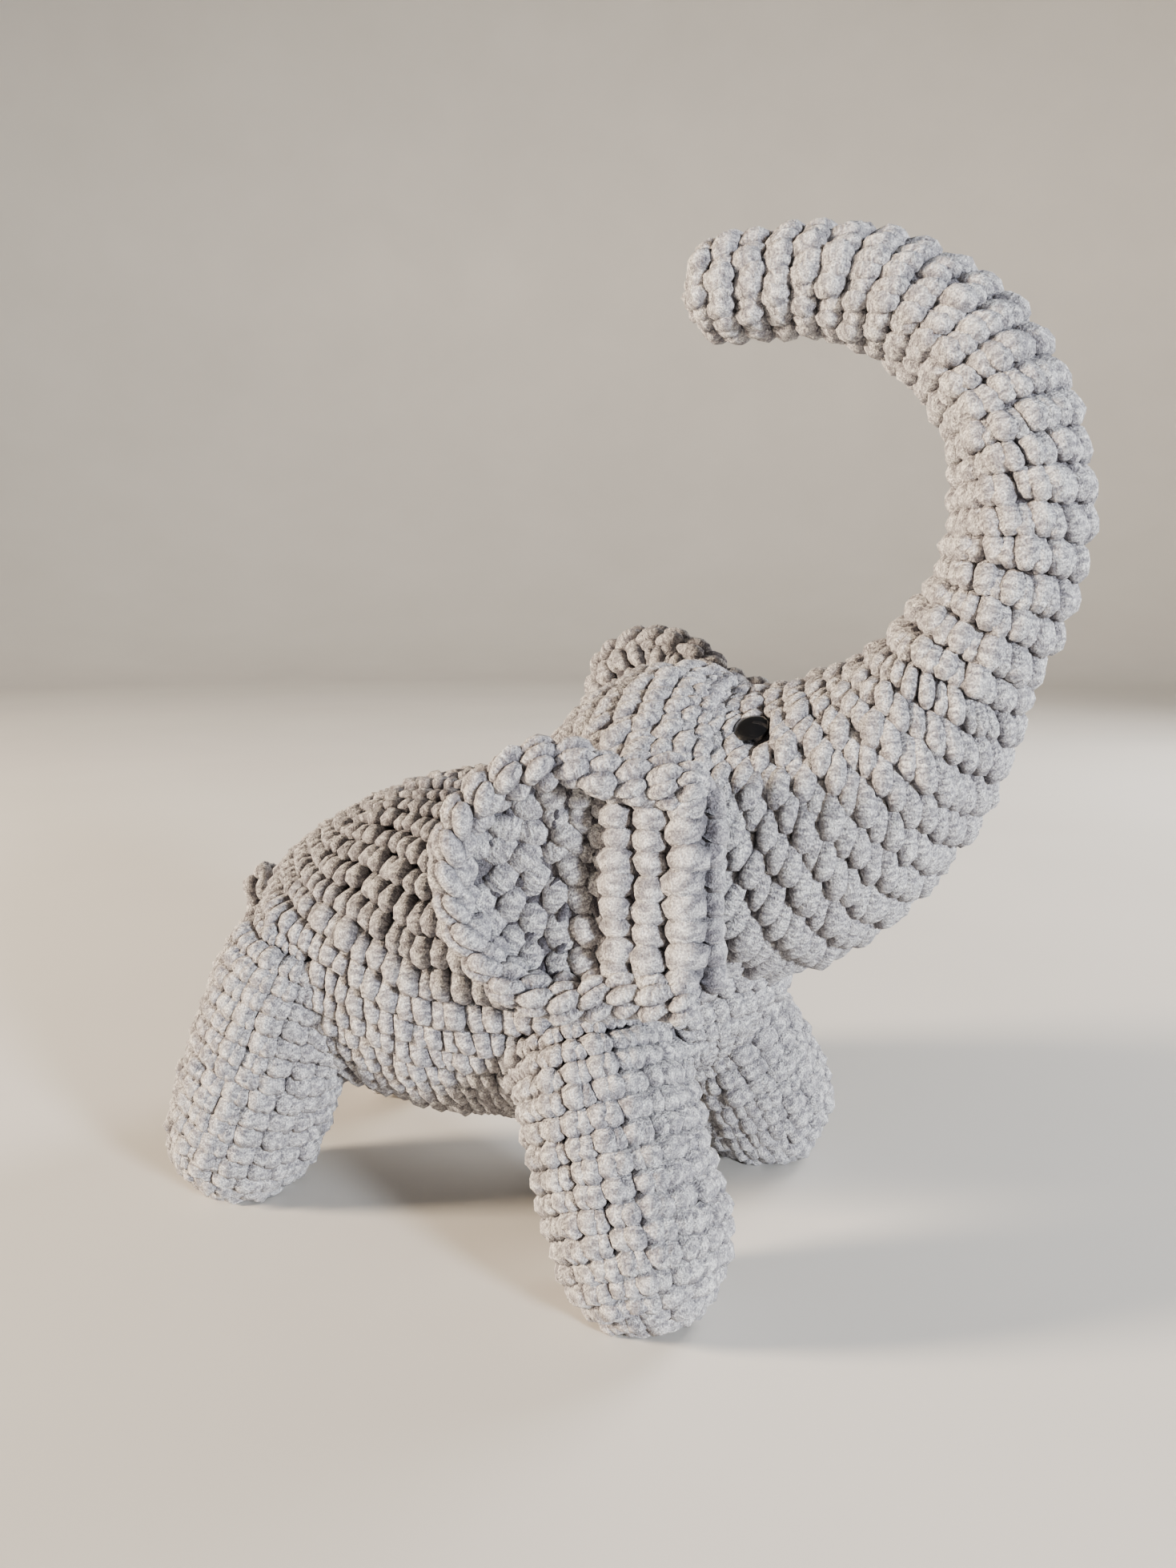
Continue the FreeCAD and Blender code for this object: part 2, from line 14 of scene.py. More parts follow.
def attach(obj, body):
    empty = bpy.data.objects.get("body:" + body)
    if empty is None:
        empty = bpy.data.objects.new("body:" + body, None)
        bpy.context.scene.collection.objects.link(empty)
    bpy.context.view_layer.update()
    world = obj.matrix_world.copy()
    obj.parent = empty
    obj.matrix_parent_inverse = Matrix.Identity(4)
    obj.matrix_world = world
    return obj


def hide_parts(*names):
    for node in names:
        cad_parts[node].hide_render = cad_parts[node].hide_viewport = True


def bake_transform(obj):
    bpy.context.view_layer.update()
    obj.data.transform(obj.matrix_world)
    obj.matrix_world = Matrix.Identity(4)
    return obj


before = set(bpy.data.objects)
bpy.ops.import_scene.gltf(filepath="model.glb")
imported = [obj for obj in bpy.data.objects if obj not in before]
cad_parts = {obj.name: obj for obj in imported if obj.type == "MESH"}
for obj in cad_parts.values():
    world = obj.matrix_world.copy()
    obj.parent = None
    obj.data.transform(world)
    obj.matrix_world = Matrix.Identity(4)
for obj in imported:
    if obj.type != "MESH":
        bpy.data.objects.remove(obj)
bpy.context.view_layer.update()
TAU = 2 * math.pi

# Sizes in metres.
STITCH_WIDTH = 0.0093
ROW_HEIGHT = 0.0084
SKIN_DEPTH = 0.0042           # the skin under the strands, below the fabric's outer surface
FLOOR_GAP = 0.0003            # no point of the fabric is lower
END_GAP = 0.001               # left free at each end of a fabric's rounds
ZONE_OVERLAP = 0.002          # how far the stitches of touching parts run into each other
SKIN_PAINTED_SHADE = 0.38             # crown mark of the plain skin between the strands, which the yarn material turns into painted shade
YARN_SEED, EAR_SEED = 11, 21
X_AXIS, Z_AXIS = np.array([1.0, 0, 0]), np.array([0, 0, 1.0])
rng = np.random.default_rng(YARN_SEED)


# ---- small helpers
def unit(v):
    return v / np.maximum(np.linalg.norm(v, axis=-1, keepdims=True), 1e-12)


def smoothstep(x, low, high):
    t = np.clip((x - low) / (high - low), 0, 1)
    return t * t * (3 - 2 * t)


def blurred(values, width):
    """Running mean of each column of a table, taken twice, with the ends held."""
    kernel = np.ones(2 * width + 1) / (2 * width + 1)
    out = np.asarray(values, float)
    for _ in range(2):
        padded = np.concatenate([np.repeat(out[:1], width, 0), out, np.repeat(out[-1:], width, 0)])
        out = np.stack([np.convolve(column, kernel, "valid") for column in padded.T], 1)
    return out


def turns_of(count):
    """`count` equal steps round a circle, in radians."""
    return np.arange(count) / count * TAU


# ---- the object's shape
BODY_CENTRE = np.array([0, 0.0289, 0.0897])
BODY_HALF = np.array([0.0655, 0.105, 0.062])
BODY_PITCH = math.radians(-7.8)
BODY_TURN = np.array([[1, 0, 0],
                      [0, math.cos(BODY_PITCH), -math.sin(BODY_PITCH)],
                      [0, math.sin(BODY_PITCH), math.cos(BODY_PITCH)]])
LEG_RADIUS = 0.0296
# legs: the middle of the foot's rounding and of the hip's
LEGS = {}
for _side_name, _side in (("right", -1), ("left", 1)):
    LEGS[f"front_{_side_name}"] = (np.array([_side * 0.0566, -0.0471, 0.023]),
                                   np.array([_side * 0.0450, -0.0286, 0.062]))
    LEGS[f"hind_{_side_name}"] = (np.array([_side * 0.0490, 0.1094, 0.023]),
                                  np.array([_side * 0.0420, 0.0909, 0.078]))
HEAD_CENTRE = np.array([0, -0.0389, 0.1347])
HEAD_RADIUS = 0.052
# head: y, z and radius of the rounds from the cheeks to the foot of the trunk
HEAD_ROUNDS = [(-0.0389, 0.1347, 0.0520), (-0.0640, 0.1353, 0.0463), (-0.0849, 0.1463, 0.0400),
               (-0.0994, 0.1582, 0.0335), (-0.1124, 0.1723, 0.0276)]
ARC_CENTRE = (-0.0686, 0.2320)
ARC_RADIUS = 0.0673
# trunk: angle on the arc (from +Y) and radius
TRUNK_ROUNDS = [(219, 0.0214), (212, 0.0194), (172, 0.0178), (130, 0.0162), (90, 0.0147)]
TRUNK_END_RUN, TRUNK_END_RADIUS = 0.0193, 0.0147
# angle on the arc of each of the trunk's three joints
BENDS = {"root": 212, "middle": 172, "tip": 130}


def body_depth(points):
    """Distance outside the body's egg, near enough."""
    local = (points - BODY_CENTRE) @ BODY_TURN
    ratio = np.linalg.norm(local / BODY_HALF, axis=-1)
    return (1 - 1 / np.maximum(ratio, 1e-6)) * np.linalg.norm(local, axis=-1)


def leg_depth(points, leg):
    """Distance outside a leg's column."""
    foot, hip = LEGS[leg]
    along = hip - foot
    t = np.clip((points - foot) @ along / (along @ along), 0, 1)
    return np.linalg.norm(points - (foot + t[..., None] * along), axis=-1) - LEG_RADIUS


# ---- skins
def mesh_object(name, points, faces):
    mesh = bpy.data.meshes.new(name)
    mesh.from_pydata([tuple(p) for p in points], [], [tuple(f) for f in faces])
    mesh.update()
    item = bpy.data.objects.new(name, mesh)
    bpy.context.scene.collection.objects.link(item)
    return item


def coords(item):
    out = np.zeros(len(item.data.vertices) * 3)
    item.data.vertices.foreach_get("co", out)
    return out.reshape(-1, 3)


def set_coords(item, points):
    item.data.vertices.foreach_set("co", np.asarray(points, float).ravel())
    item.data.update()


def apply_modifiers(item):
    graph = bpy.context.evaluated_depsgraph_get()
    done = bpy.data.meshes.new_from_object(item.evaluated_get(graph))
    item.modifiers.clear()
    item.data = done
    return item


def remeshed(item, voxel, smooth_rounds):
    modifier = item.modifiers.new("remesh", "REMESH")
    modifier.mode, modifier.voxel_size = "VOXEL", voxel
    relax = item.modifiers.new("relax", "SMOOTH")
    relax.factor, relax.iterations = 0.5, smooth_rounds
    return apply_modifiers(item)


def inflate(item, cap):
    """Cloth under inner pressure, with no gravity. No point moves further than `cap`."""
    frames, pressure = 20, 4
    before = coords(item)
    cloth = item.modifiers.new("cloth", "CLOTH")
    cloth.settings.use_pressure = True
    cloth.settings.uniform_pressure_force = pressure
    cloth.settings.effector_weights.gravity = 0
    cloth.settings.quality = 5
    cloth.collision_settings.use_self_collision = False
    cloth.point_cache.frame_start, cloth.point_cache.frame_end = 1, frames
    for number in range(1, frames + 1):
        bpy.context.scene.frame_set(number)
    graph = bpy.context.evaluated_depsgraph_get()
    after = np.zeros(len(before) * 3)
    item.evaluated_get(graph).data.vertices.foreach_get("co", after)
    item.modifiers.clear()
    bpy.context.scene.frame_set(1)
    move = after.reshape(-1, 3) - before
    far = np.linalg.norm(move, axis=1, keepdims=True)
    set_coords(item, before + move * np.minimum(1, cap / np.maximum(far, 1e-9)))


def subdivide(item):
    modifier = item.modifiers.new("subdivide", "SUBSURF")
    modifier.levels = modifier.render_levels = 1
    apply_modifiers(item)


EGG_AROUND, EGG_ROWS = 48, 31
COLUMN_AROUND = 32


def egg_points(inset):
    """A pole, the rings and a pole of the body's egg, `inset` inside its surface."""
    around = turns_of(EGG_AROUND)
    up = (np.arange(1, EGG_ROWS + 1) / (EGG_ROWS + 1) - 0.5) * math.pi
    ring = np.stack([np.cos(around), np.sin(around), np.zeros_like(around)], 1)
    rows = [ring * math.cos(a) + Z_AXIS * math.sin(a) for a in up]
    sphere = np.concatenate([[-Z_AXIS], *rows, [Z_AXIS]])
    return (sphere * (BODY_HALF - inset)) @ BODY_TURN.T + BODY_CENTRE


def capped_rows(rows, around):
    """Faces of a closed surface: a pole, `rows` rings of `around` points, and a pole."""
    faces = [(0, 1 + (j + 1) % around, 1 + j) for j in range(around)]
    for i in range(rows - 1):
        a = 1 + i * around
        faces += [(a + j, a + (j + 1) % around, a + around + (j + 1) % around, a + around + j)
                  for j in range(around)]
    last, a = 1 + rows * around, 1 + (rows - 1) * around
    faces += [(a + j, a + (j + 1) % around, last) for j in range(around)]
    return faces


def closed(grid):
    """Points and faces of a grid of rings, closed with a pole at either end."""
    points = np.concatenate([grid[:1].mean(1), grid.reshape(-1, 3), grid[-1:].mean(1)])
    return points, capped_rows(*grid.shape[:2])


def column_points(foot, hip, radius, cap_rows=7):
    """A leg's column with round ends, and how many rings it has."""
    axis = unit(hip - foot)
    side = unit(np.cross(axis, X_AXIS))
    other = np.cross(axis, side)
    turns = turns_of(COLUMN_AROUND)
    ring = np.cos(turns)[:, None] * side + np.sin(turns)[:, None] * other
    rows = []
    for k in range(1, cap_rows + 1):
        a = (k / cap_rows - 1) * math.pi / 2
        rows.append(foot + radius * (ring * math.cos(a) + axis * math.sin(a)))
    for k in range(cap_rows):
        a = k / cap_rows * math.pi / 2
        rows.append(hip + radius * (ring * math.cos(a) + axis * math.sin(a)))
    return np.concatenate([[foot - axis * radius], *rows, [hip + axis * radius]]), 2 * cap_rows


def body_skin():
    """The body and its legs as one soft skin, stretched by its filling.

    Returns the skin, then the points and faces that it had before it was subdivided.
    """
    swell, most_move = 0.0022, 0.004
    voxel, smooth_rounds = 0.005, 6
    points = [egg_points(SKIN_DEPTH + swell)]
    faces = [np.array(f) for f in capped_rows(EGG_ROWS, EGG_AROUND)]
    count = len(points[0])
    for foot, hip in LEGS.values():
        column, rows = column_points(foot, hip, LEG_RADIUS - SKIN_DEPTH - swell)
        points.append(column)
        faces += [np.array(f) + count for f in capped_rows(rows, COLUMN_AROUND)]
        count += len(column)
    item = remeshed(mesh_object("body_skin", np.concatenate(points), faces), voxel, smooth_rounds)
    inflate(item, most_move)
    rest_on_floor(item)
    coarse = coords(item), [tuple(p.vertices) for p in item.data.polygons]
    subdivide(item)
    rest_on_floor(item)
    return item, *coarse


def rest_on_floor(item):
    p = coords(item)
    p[:, 2] = np.maximum(p[:, 2], SKIN_DEPTH * 0.8)
    set_coords(item, p)


skin, coarse_points, coarse_faces = body_skin()
tree = BVHTree.FromPolygons([v.co for v in skin.data.vertices],
                            [tuple(p.vertices) for p in skin.data.polygons])


def reach(origins, directions):
    """Where rays from inside the skin leave it for the first time, or 5 cm out if they miss."""
    out = np.zeros_like(origins)
    for k, (origin, direction) in enumerate(zip(origins, directions)):
        hit = tree.ray_cast(Vector(origin), Vector(direction), 0.2)
        out[k] = hit[0] if hit[0] is not None else origin + direction * 0.05
    return out


# ---- fabrics
class Fabric:
    """The outer surface of rounds: a grid of points, rows along it and a closed turn around it."""

    def __init__(self, grid, lift=0.0):
        self.n = self.normals(grid)
        self.p = grid + self.n * lift
        step = np.linalg.norm(np.diff(self.p, axis=0), axis=2)
        self.run = np.concatenate([[0], np.cumsum(np.median(step, axis=1))])
        self.girth = np.linalg.norm(self.p - np.roll(self.p, -1, axis=1), axis=2).sum(1)

    @classmethod
    def facing(cls, grid, outward):
        """A fabric whose normals point along `outward`, turning the rounds over if they don't."""
        item = cls(grid)
        return item if (item.n * outward).sum() > 0 else cls(grid[:, ::-1])

    @staticmethod
    def normals(p):
        around = np.roll(p, -1, axis=1) - np.roll(p, 1, axis=1)
        along = np.gradient(p, axis=0)
        return unit(np.cross(around, along))

    def at(self, u, run):
        """Points and normals at turn u (0..1) and distance `run` along the rounds."""
        rows, turns = self.p.shape[:2]
        i = np.interp(run, self.run, np.arange(rows))
        i0 = np.clip(np.floor(i).astype(int), 0, rows - 2)
        fi = (i - i0)[..., None]
        j = (u % 1.0) * turns
        j0 = np.floor(j).astype(int) % turns
        j1 = (j0 + 1) % turns
        fj = (j - np.floor(j))[..., None]

        def mix(a):
            return ((a[i0, j0] * (1 - fj) + a[i0, j1] * fj) * (1 - fi)
                    + (a[i0 + 1, j0] * (1 - fj) + a[i0 + 1, j1] * fj) * fi)
        return mix(self.p), unit(mix(self.n))


class Stitches:
    """The stitches of some rounds of a fabric, as arrays of places and sizes.

    `u` and `v` are a stitch's turn and its distance along the rounds, `du` and `dv` its width and
    height in the same measures. `drift` turns each round against the last one, in stitches.
    """

    def __init__(self, fabric, start, end, width=STITCH_WIDTH, height=ROW_HEIGHT, drift=0.12,
                 least=6, most=1000, jitter=1.0):
        count = max(1, round((end - start) / height))
        step = (end - start) / count
        u, v, du = [], [], []
        shift = 0.0
        for row in range(count):
            middle = start + (row + 0.5) * step
            girth = np.interp(middle, fabric.run, fabric.girth)
            wide = width(middle) if callable(width) else width
            number = min(most, max(least, round(girth / wide)))
            shift += drift / number
            places = (np.arange(number) + 0.5) / number + shift
            u.append(places)
            v.append(np.full(number, middle))
            du.append(np.full(number, 1 / number))
        self.fabric = fabric
        self.u, self.v, self.du = (np.concatenate(a) for a in (u, v, du))
        self.dv = np.full(len(self.u), step)
        spread = 0.035 * jitter
        self.u = self.u + rng.normal(0, spread, len(self.u)) * self.du
        self.v = self.v + rng.normal(0, spread, len(self.u)) * self.dv
        self.centre, self.normal = fabric.at(self.u, self.v)

    def some(self, mask):
        """Some of the stitches, as a new set."""
        part = Stitches.__new__(Stitches)
        part.fabric = self.fabric
        for key in ("u", "v", "du", "dv", "centre", "normal"):
            setattr(part, key, getattr(self, key)[mask])
        return part


# A strand in its stitch: (u, v, height) at five points from top to bottom, in stitch widths,
# row heights and metres, then its half width in stitch widths and half depth in metres.
# WIDE and SLIM lie on the back of the ears, EVEN on the body, cheeks, ear rims and tail, TWIN on
# the legs and trunk, and SINGLE on the ears' columns, in their bowls and along the body's seam.
WIDE_STRAND = ([(-0.22, 0.50, -0.0026), (-0.21, 0.26, -0.0004), (-0.19, 0.0, 0.0006),
                (-0.17, -0.26, 0.0008), (-0.15, -0.50, -0.0012)], 0.315, 0.0036)
SLIM_STRAND = ([(0.31, 0.48, -0.0034), (0.32, 0.25, -0.0014), (0.33, 0.0, -0.0004),
                (0.34, -0.25, 0.0000), (0.34, -0.48, -0.0020)], 0.215, 0.0031)
EVEN_STRANDS = ([(-0.26, 0.52, -0.0026), (-0.25, 0.27, -0.0004), (-0.24, 0.0, 0.0006),
                 (-0.23, -0.28, 0.0008), (-0.22, -0.52, -0.0014)], 0.250, 0.0036), (
                [(0.25, 0.44, -0.0030), (0.25, 0.22, -0.0008), (0.26, -0.06, 0.0002),
                 (0.26, -0.34, 0.0006), (0.26, -0.60, -0.0016)], 0.240, 0.0034)
SINGLE_STRAND = ([(0.0, 0.50, -0.0026), (0.0, 0.26, -0.0004), (0.0, 0.0, 0.0006),
                  (0.0, -0.26, 0.0008), (0.0, -0.50, -0.0014)], 0.46, 0.0042)
TWIN_STRANDS = tuple(([(u * 0.78, v, h) for u, v, h in knots], half_width * share, half_depth)
                     for (knots, half_width, half_depth), share in zip(EVEN_STRANDS, (1.28, 1.16)))
PAIR = (WIDE_STRAND, SLIM_STRAND)


def strands(stitches, pattern, rings=8, level=-0.0031, lean=0.0, stretch=1.0, fat=1.0, tile=0.0,
            square=3.0, drop=0.12):
    """One strand per stitch: its rings, its two end points, their marks and its length.

    `lean` may be one number or one per stitch. `tile` lifts the lower end and sinks the upper one,
    `square` makes the ends blunter and `drop` makes the lower end thicker.
    A mark is how near the point is to the crown, which the yarn material turns into painted shade
    on the strand's flanks and ends, then its place round and along the strand.
    """
    around, slant, uneven, lump = 8, 0.07, 0.07, 0.045
    knots, half_width, half_depth = pattern
    knots = np.array(knots)
    count = len(stitches.u)
    knot_t = np.linspace(-1, 1, len(knots))
    # rings sit closer together near the round ends
    t = -np.cos(np.linspace(0, math.pi, rings + 2))
    shape = np.stack([np.polynomial.polynomial.polyval(
        t, np.polynomial.polynomial.polyfit(knot_t, knots[:, k], 4)) for k in range(3)], 1)
    tip = rng.normal(0, slant, (count, 1))
    lift = rng.normal(0, 0.0004, (count, 1))
    size = 1 + rng.normal(0, uneven, (count, 1))
    lean, stretch, fat = (np.broadcast_to(np.asarray(a, float).reshape(-1, 1), (count, 1))
                          for a in (lean, stretch, fat))
    dv = stretch * shape[None, :, 1] * (1 + rng.normal(0, 0.05, (count, 1)))
    du = shape[None, :, 0] - (lean + tip) * dv + rng.normal(0, 0.02, (count, 1))
    u = stitches.u[:, None] + du * stitches.du[:, None]
    v = stitches.v[:, None] + dv * stitches.dv[:, None]
    p, n = stitches.fabric.at(u, v)
    line = p + n * (level + shape[None, :, 2] + lift - tile * dv)[..., None]
    tangent = unit(np.gradient(line, axis=1))
    side = unit(np.cross(n, tangent))
    rise = np.cross(tangent, side)
    round_end = (np.sqrt(np.maximum(1 - np.abs(t) ** square, 0)) * (1 + drop * t))[None, :]
    # local width of a stitch where it lies
    left, _ = stitches.fabric.at(stitches.u - 0.5 * stitches.du, stitches.v)
    right, _ = stitches.fabric.at(stitches.u + 0.5 * stitches.du, stitches.v)
    local = np.clip(np.linalg.norm(right - left, axis=1), 0.4 * STITCH_WIDTH, 1.5 * STITCH_WIDTH)
    wide = fat * half_width * local[:, None] * size * round_end
    deep = half_depth * np.clip(local / STITCH_WIDTH, 0.65, 1.12)[:, None] * size * round_end
    turns = turns_of(around) - math.pi / 2
    lumps = 1 + 0.05 * np.sin(2 * turns[None, None, :] + rng.uniform(0, TAU, (count, 1, 1))
                              + 3 * t[None, :, None])
    lumps = lumps + rng.normal(0, lump, (count, len(t), around))
    c, s = np.cos(turns), np.sin(turns)
    c, s = np.sign(c) * np.abs(c) ** 0.85, np.sign(s) * np.abs(s) ** 0.85
    tube = (line[:, :, None, :]
            + side[:, :, None, :] * (wide[:, :, None] * lumps * c)[..., None]
            + rise[:, :, None, :] * (deep[:, :, None] * lumps * s)[..., None])
    length = np.linalg.norm(np.diff(line, axis=1), axis=2)
    along = np.concatenate([np.zeros((count, 1)), np.cumsum(length, axis=1)], 1)
    # nearness to the crown: 1 on top, low on the flanks, underside and ends, where the yarn
    # material paints shade
    crown = (np.clip(s * 0.5 + 0.5, 0, 1)[None, None, :] * round_end[:, :, None] ** 0.6
             * np.ones((count, 1, 1)))
    marks = np.stack([np.clip(crown, 0, 1),
                      np.broadcast_to(turns * 0.003, crown.shape),
                      np.broadcast_to(along[:, :, None] + rng.uniform(0, 1, (count, 1, 1)),
                                      crown.shape)], 3)
    return tube[:, 1:-1], line[:, [0, -1]], marks[:, 1:-1], length.sum(1)


def laid(stitches, patterns, **more):
    """A set of strands for each pattern."""
    return [strands(stitches, pattern, **more) for pattern in patterns]


def strand_mesh(sets):
    """One list of points, faces and marks from several sets of strands."""
    points, faces, marks, base = [], [], [], 0
    for inner, poles, mark, _ in sets:
        count, rings, around = inner.shape[:3]
        per = rings * around + 2
        block = np.concatenate([poles[:, :1], inner.reshape(count, -1, 3), poles[:, 1:]], 1)
        # each strand's two end points get crown mark 0, the darkest painted shade
        ends = mark[:, [0, -1]].mean(2) * np.array([0, 1, 1])
        shade = np.concatenate([ends[:, :1], mark.reshape(count, -1, 3), ends[:, 1:]], 1)
        pattern = capped_rows(rings, around)
        for k in range(count):
            start = base + k * per
            faces += [tuple(i + start for i in f) for f in pattern]
        points.append(block.reshape(-1, 3))
        marks.append(shade.reshape(-1, 3))
        base += count * per
    return np.concatenate(points), faces, np.concatenate(marks)


# ---- materials
def new_material(name):
    material = bpy.data.materials.new(name)
    material.use_nodes = True
    graph = material.node_tree
    shader = next(n for n in graph.nodes if n.type == "BSDF_PRINCIPLED")
    return material, graph, shader


def set_inputs(node, values):
    for name, value in values.items():
        node.inputs[name].default_value = value


def object_place(graph):
    return graph.nodes.new("ShaderNodeTexCoord").outputs["Object"]


def noise(graph, coordinates, scale, detail=3.0, rough=0.6):
    node = graph.nodes.new("ShaderNodeTexNoise")
    set_inputs(node, {"Scale": scale, "Detail": detail, "Roughness": rough})
    graph.links.new(coordinates, node.inputs["Vector"])
    return node.outputs["Fac"]


def ramp(graph, value, stops):
    node = graph.nodes.new("ShaderNodeValToRGB")
    while len(node.color_ramp.elements) < len(stops):
        node.color_ramp.elements.new(0.5)
    for element, (place, colour) in zip(node.color_ramp.elements, stops):
        element.position, element.color = place, (*colour, 1)
    graph.links.new(value, node.inputs["Fac"])
    return node.outputs["Color"]


def multiplied(graph, a, b):
    node = graph.nodes.new("ShaderNodeMix")
    node.data_type, node.blend_type = "RGBA", "MULTIPLY"
    node.inputs[0].default_value = 1.0
    graph.links.new(a, node.inputs[6])
    graph.links.new(b, node.inputs[7])
    return node.outputs[2]


def yarn_material(name):
    """Chenille: a short dense pile with tone that differs at random and partly painted glints, and
    painted shade: full tone on each strand's crown, darker on its flanks and ends and on the skin
    down between the strands.
    """
    material, graph, shader = new_material(name)
    place = object_place(graph)
    strand = graph.nodes.new("ShaderNodeAttribute")
    strand.attribute_name = "strand"
    stretch = graph.nodes.new("ShaderNodeVectorMath")
    stretch.operation = "MULTIPLY"
    stretch.inputs[1].default_value = (0.35, 1.0, 1.0)
    graph.links.new(strand.outputs["Vector"], stretch.inputs[0])
    # rows of pile across the strand
    ridges = noise(graph, stretch.outputs["Vector"], 950, 1.0, 0.5)
    fluff = noise(graph, place, 1700, 3.0, 0.65)
    soft = ramp(graph, noise(graph, place, 60, 2.0),
                [(0.3, (0.49, 0.48, 0.495)), (0.7, (0.56, 0.555, 0.56))])
    # fibre tone that differs at random, with the bright end of this ramp as painted glints in the
    # pile
    pile = ramp(graph, fluff,
                [(0.34, (0.52, 0.51, 0.55)), (0.50, (0.98, 0.98, 0.98)),
                 (0.64, (1.66, 1.66, 1.62))])
    colour = multiplied(graph, soft, pile)
    # the pile's rows across the strand: partly their own tone, partly painted light and shade on
    # the ridges
    lines = ramp(graph, ridges, [(0.38, (0.62, 0.61, 0.65)), (0.58, (1.26, 1.26, 1.26))])
    colour = multiplied(graph, colour, lines)
    # painted shade from the crown mark: dark on the strands' flanks and ends and on the skin
    # between them, full tone on their crowns
    crown = graph.nodes.new("ShaderNodeAttribute")
    crown.attribute_name = "crown"
    depth = ramp(graph, crown.outputs["Fac"],
                 [(0.0, (0.16, 0.15, 0.18)), (0.45, (0.34, 0.33, 0.36)), (0.78, (0.74, 0.73, 0.75)),
                  (1.0, (1.06, 1.06, 1.05))])
    colour = multiplied(graph, colour, depth)
    graph.links.new(colour, shader.inputs["Base Color"])
    set_inputs(shader, {"Roughness": 0.85, "Specular IOR Level": 0.3, "Sheen Weight": 0.3,
                        "Sheen Roughness": 0.5, "Sheen Tint": (0.95, 0.96, 1.0, 1)})
    total = graph.nodes.new("ShaderNodeMath")
    total.operation = "ADD"
    graph.links.new(ridges, total.inputs[0])
    graph.links.new(fluff, total.inputs[1])
    bump = graph.nodes.new("ShaderNodeBump")
    set_inputs(bump, {"Strength": 1.0, "Distance": 0.0017})
    graph.links.new(total.outputs["Value"], bump.inputs["Height"])
    graph.links.new(bump.outputs["Normal"], shader.inputs["Normal"])
    return material


def plastic_material(name, colour, roughness, coat):
    """Moulded plastic with faint flow marks."""
    material, graph, shader = new_material(name)
    place = object_place(graph)
    tone = ramp(graph, noise(graph, place, 220, 2.0),
                [(0.3, tuple(c * 0.8 for c in colour)), (0.7, tuple(c * 1.2 for c in colour))])
    graph.links.new(tone, shader.inputs["Base Color"])
    shade = graph.nodes.new("ShaderNodeMapRange")
    set_inputs(shade, {"To Min": roughness * 0.85, "To Max": roughness * 1.25})
    graph.links.new(noise(graph, place, 90, 3.0), shade.inputs["Value"])
    graph.links.new(shade.outputs["Result"], shader.inputs["Roughness"])
    set_inputs(shader, {"Coat Weight": coat, "Coat Roughness": 0.04})
    return material


YARN = yarn_material("chenille_yarn")
EYE = plastic_material("eye_black", (0.008, 0.008, 0.009), 0.16, 0.8)
WASHER = plastic_material("washer_white", (0.62, 0.62, 0.60), 0.5, 0.0)


# ---- building pieces
def piece(name, mesh, skin=None):
    """A fabric piece: its strands and the skin under them, in one mesh."""
    points, faces, marks = mesh
    if skin:
        skin_points, skin_faces = skin
        faces = faces + [tuple(i + len(points) for i in f) for f in skin_faces]
        points = np.concatenate([points, skin_points])
        # the skin gets a low crown mark, so the yarn material paints shade on it between the
        # strands
        plain = np.zeros((len(skin_points), 3))
        plain[:, 0] = SKIN_PAINTED_SHADE
        marks = np.concatenate([marks, plain])
    points = points.copy()
    points[:, 2] = np.maximum(points[:, 2], FLOOR_GAP)
    item = mesh_object(name, points, faces)
    item.data.attributes.new("crown", "FLOAT", "POINT").data.foreach_set("value", marks[:, 0])
    item.data.attributes.new("strand", "FLOAT_VECTOR", "POINT").data.foreach_set(
        "vector", np.stack([marks[:, 1], marks[:, 2], marks[:, 1] * 0], 1).ravel())
    item.data.shade_smooth()
    item.data.materials.append(YARN)
    return item


def finished(item, body, nodes, blend=None):
    """Hide the parts that a padded piece replaces, then attach it to the body that carries it, or,
    for a piece given `blend`, only bake its place into its mesh; the joint that `blend` holds is
    not used.
    """
    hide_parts(*nodes)
    if blend:
        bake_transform(item)
    else:
        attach(item, body)


# ---- body
FRONT_MEDIAL, REAR_MEDIAL = np.array([0, -0.012, 0.089]), np.array([0, 0.070, 0.1015])


def medial(share):
    """The line inside the body: level under the shoulders, then a rise to the rear."""
    y = FRONT_MEDIAL[1] + share * (REAR_MEDIAL[1] - FRONT_MEDIAL[1])
    rise = 0.0105 * smoothstep(y, 0.022, 0.062) + 0.16 * np.maximum(y - 0.055, 0)
    return np.stack([0 * y, y, FRONT_MEDIAL[2] + rise], -1)


def medial_axes(share):
    """The body's own backward and upward directions along that line."""
    tilt = np.radians(-3 + 17 * smoothstep(share, 0.3, 1.0))
    level = np.zeros(len(share))
    return (np.stack([level, np.cos(tilt), np.sin(tilt)], 1),
            np.stack([level, -np.sin(tilt), np.cos(tilt)], 1))


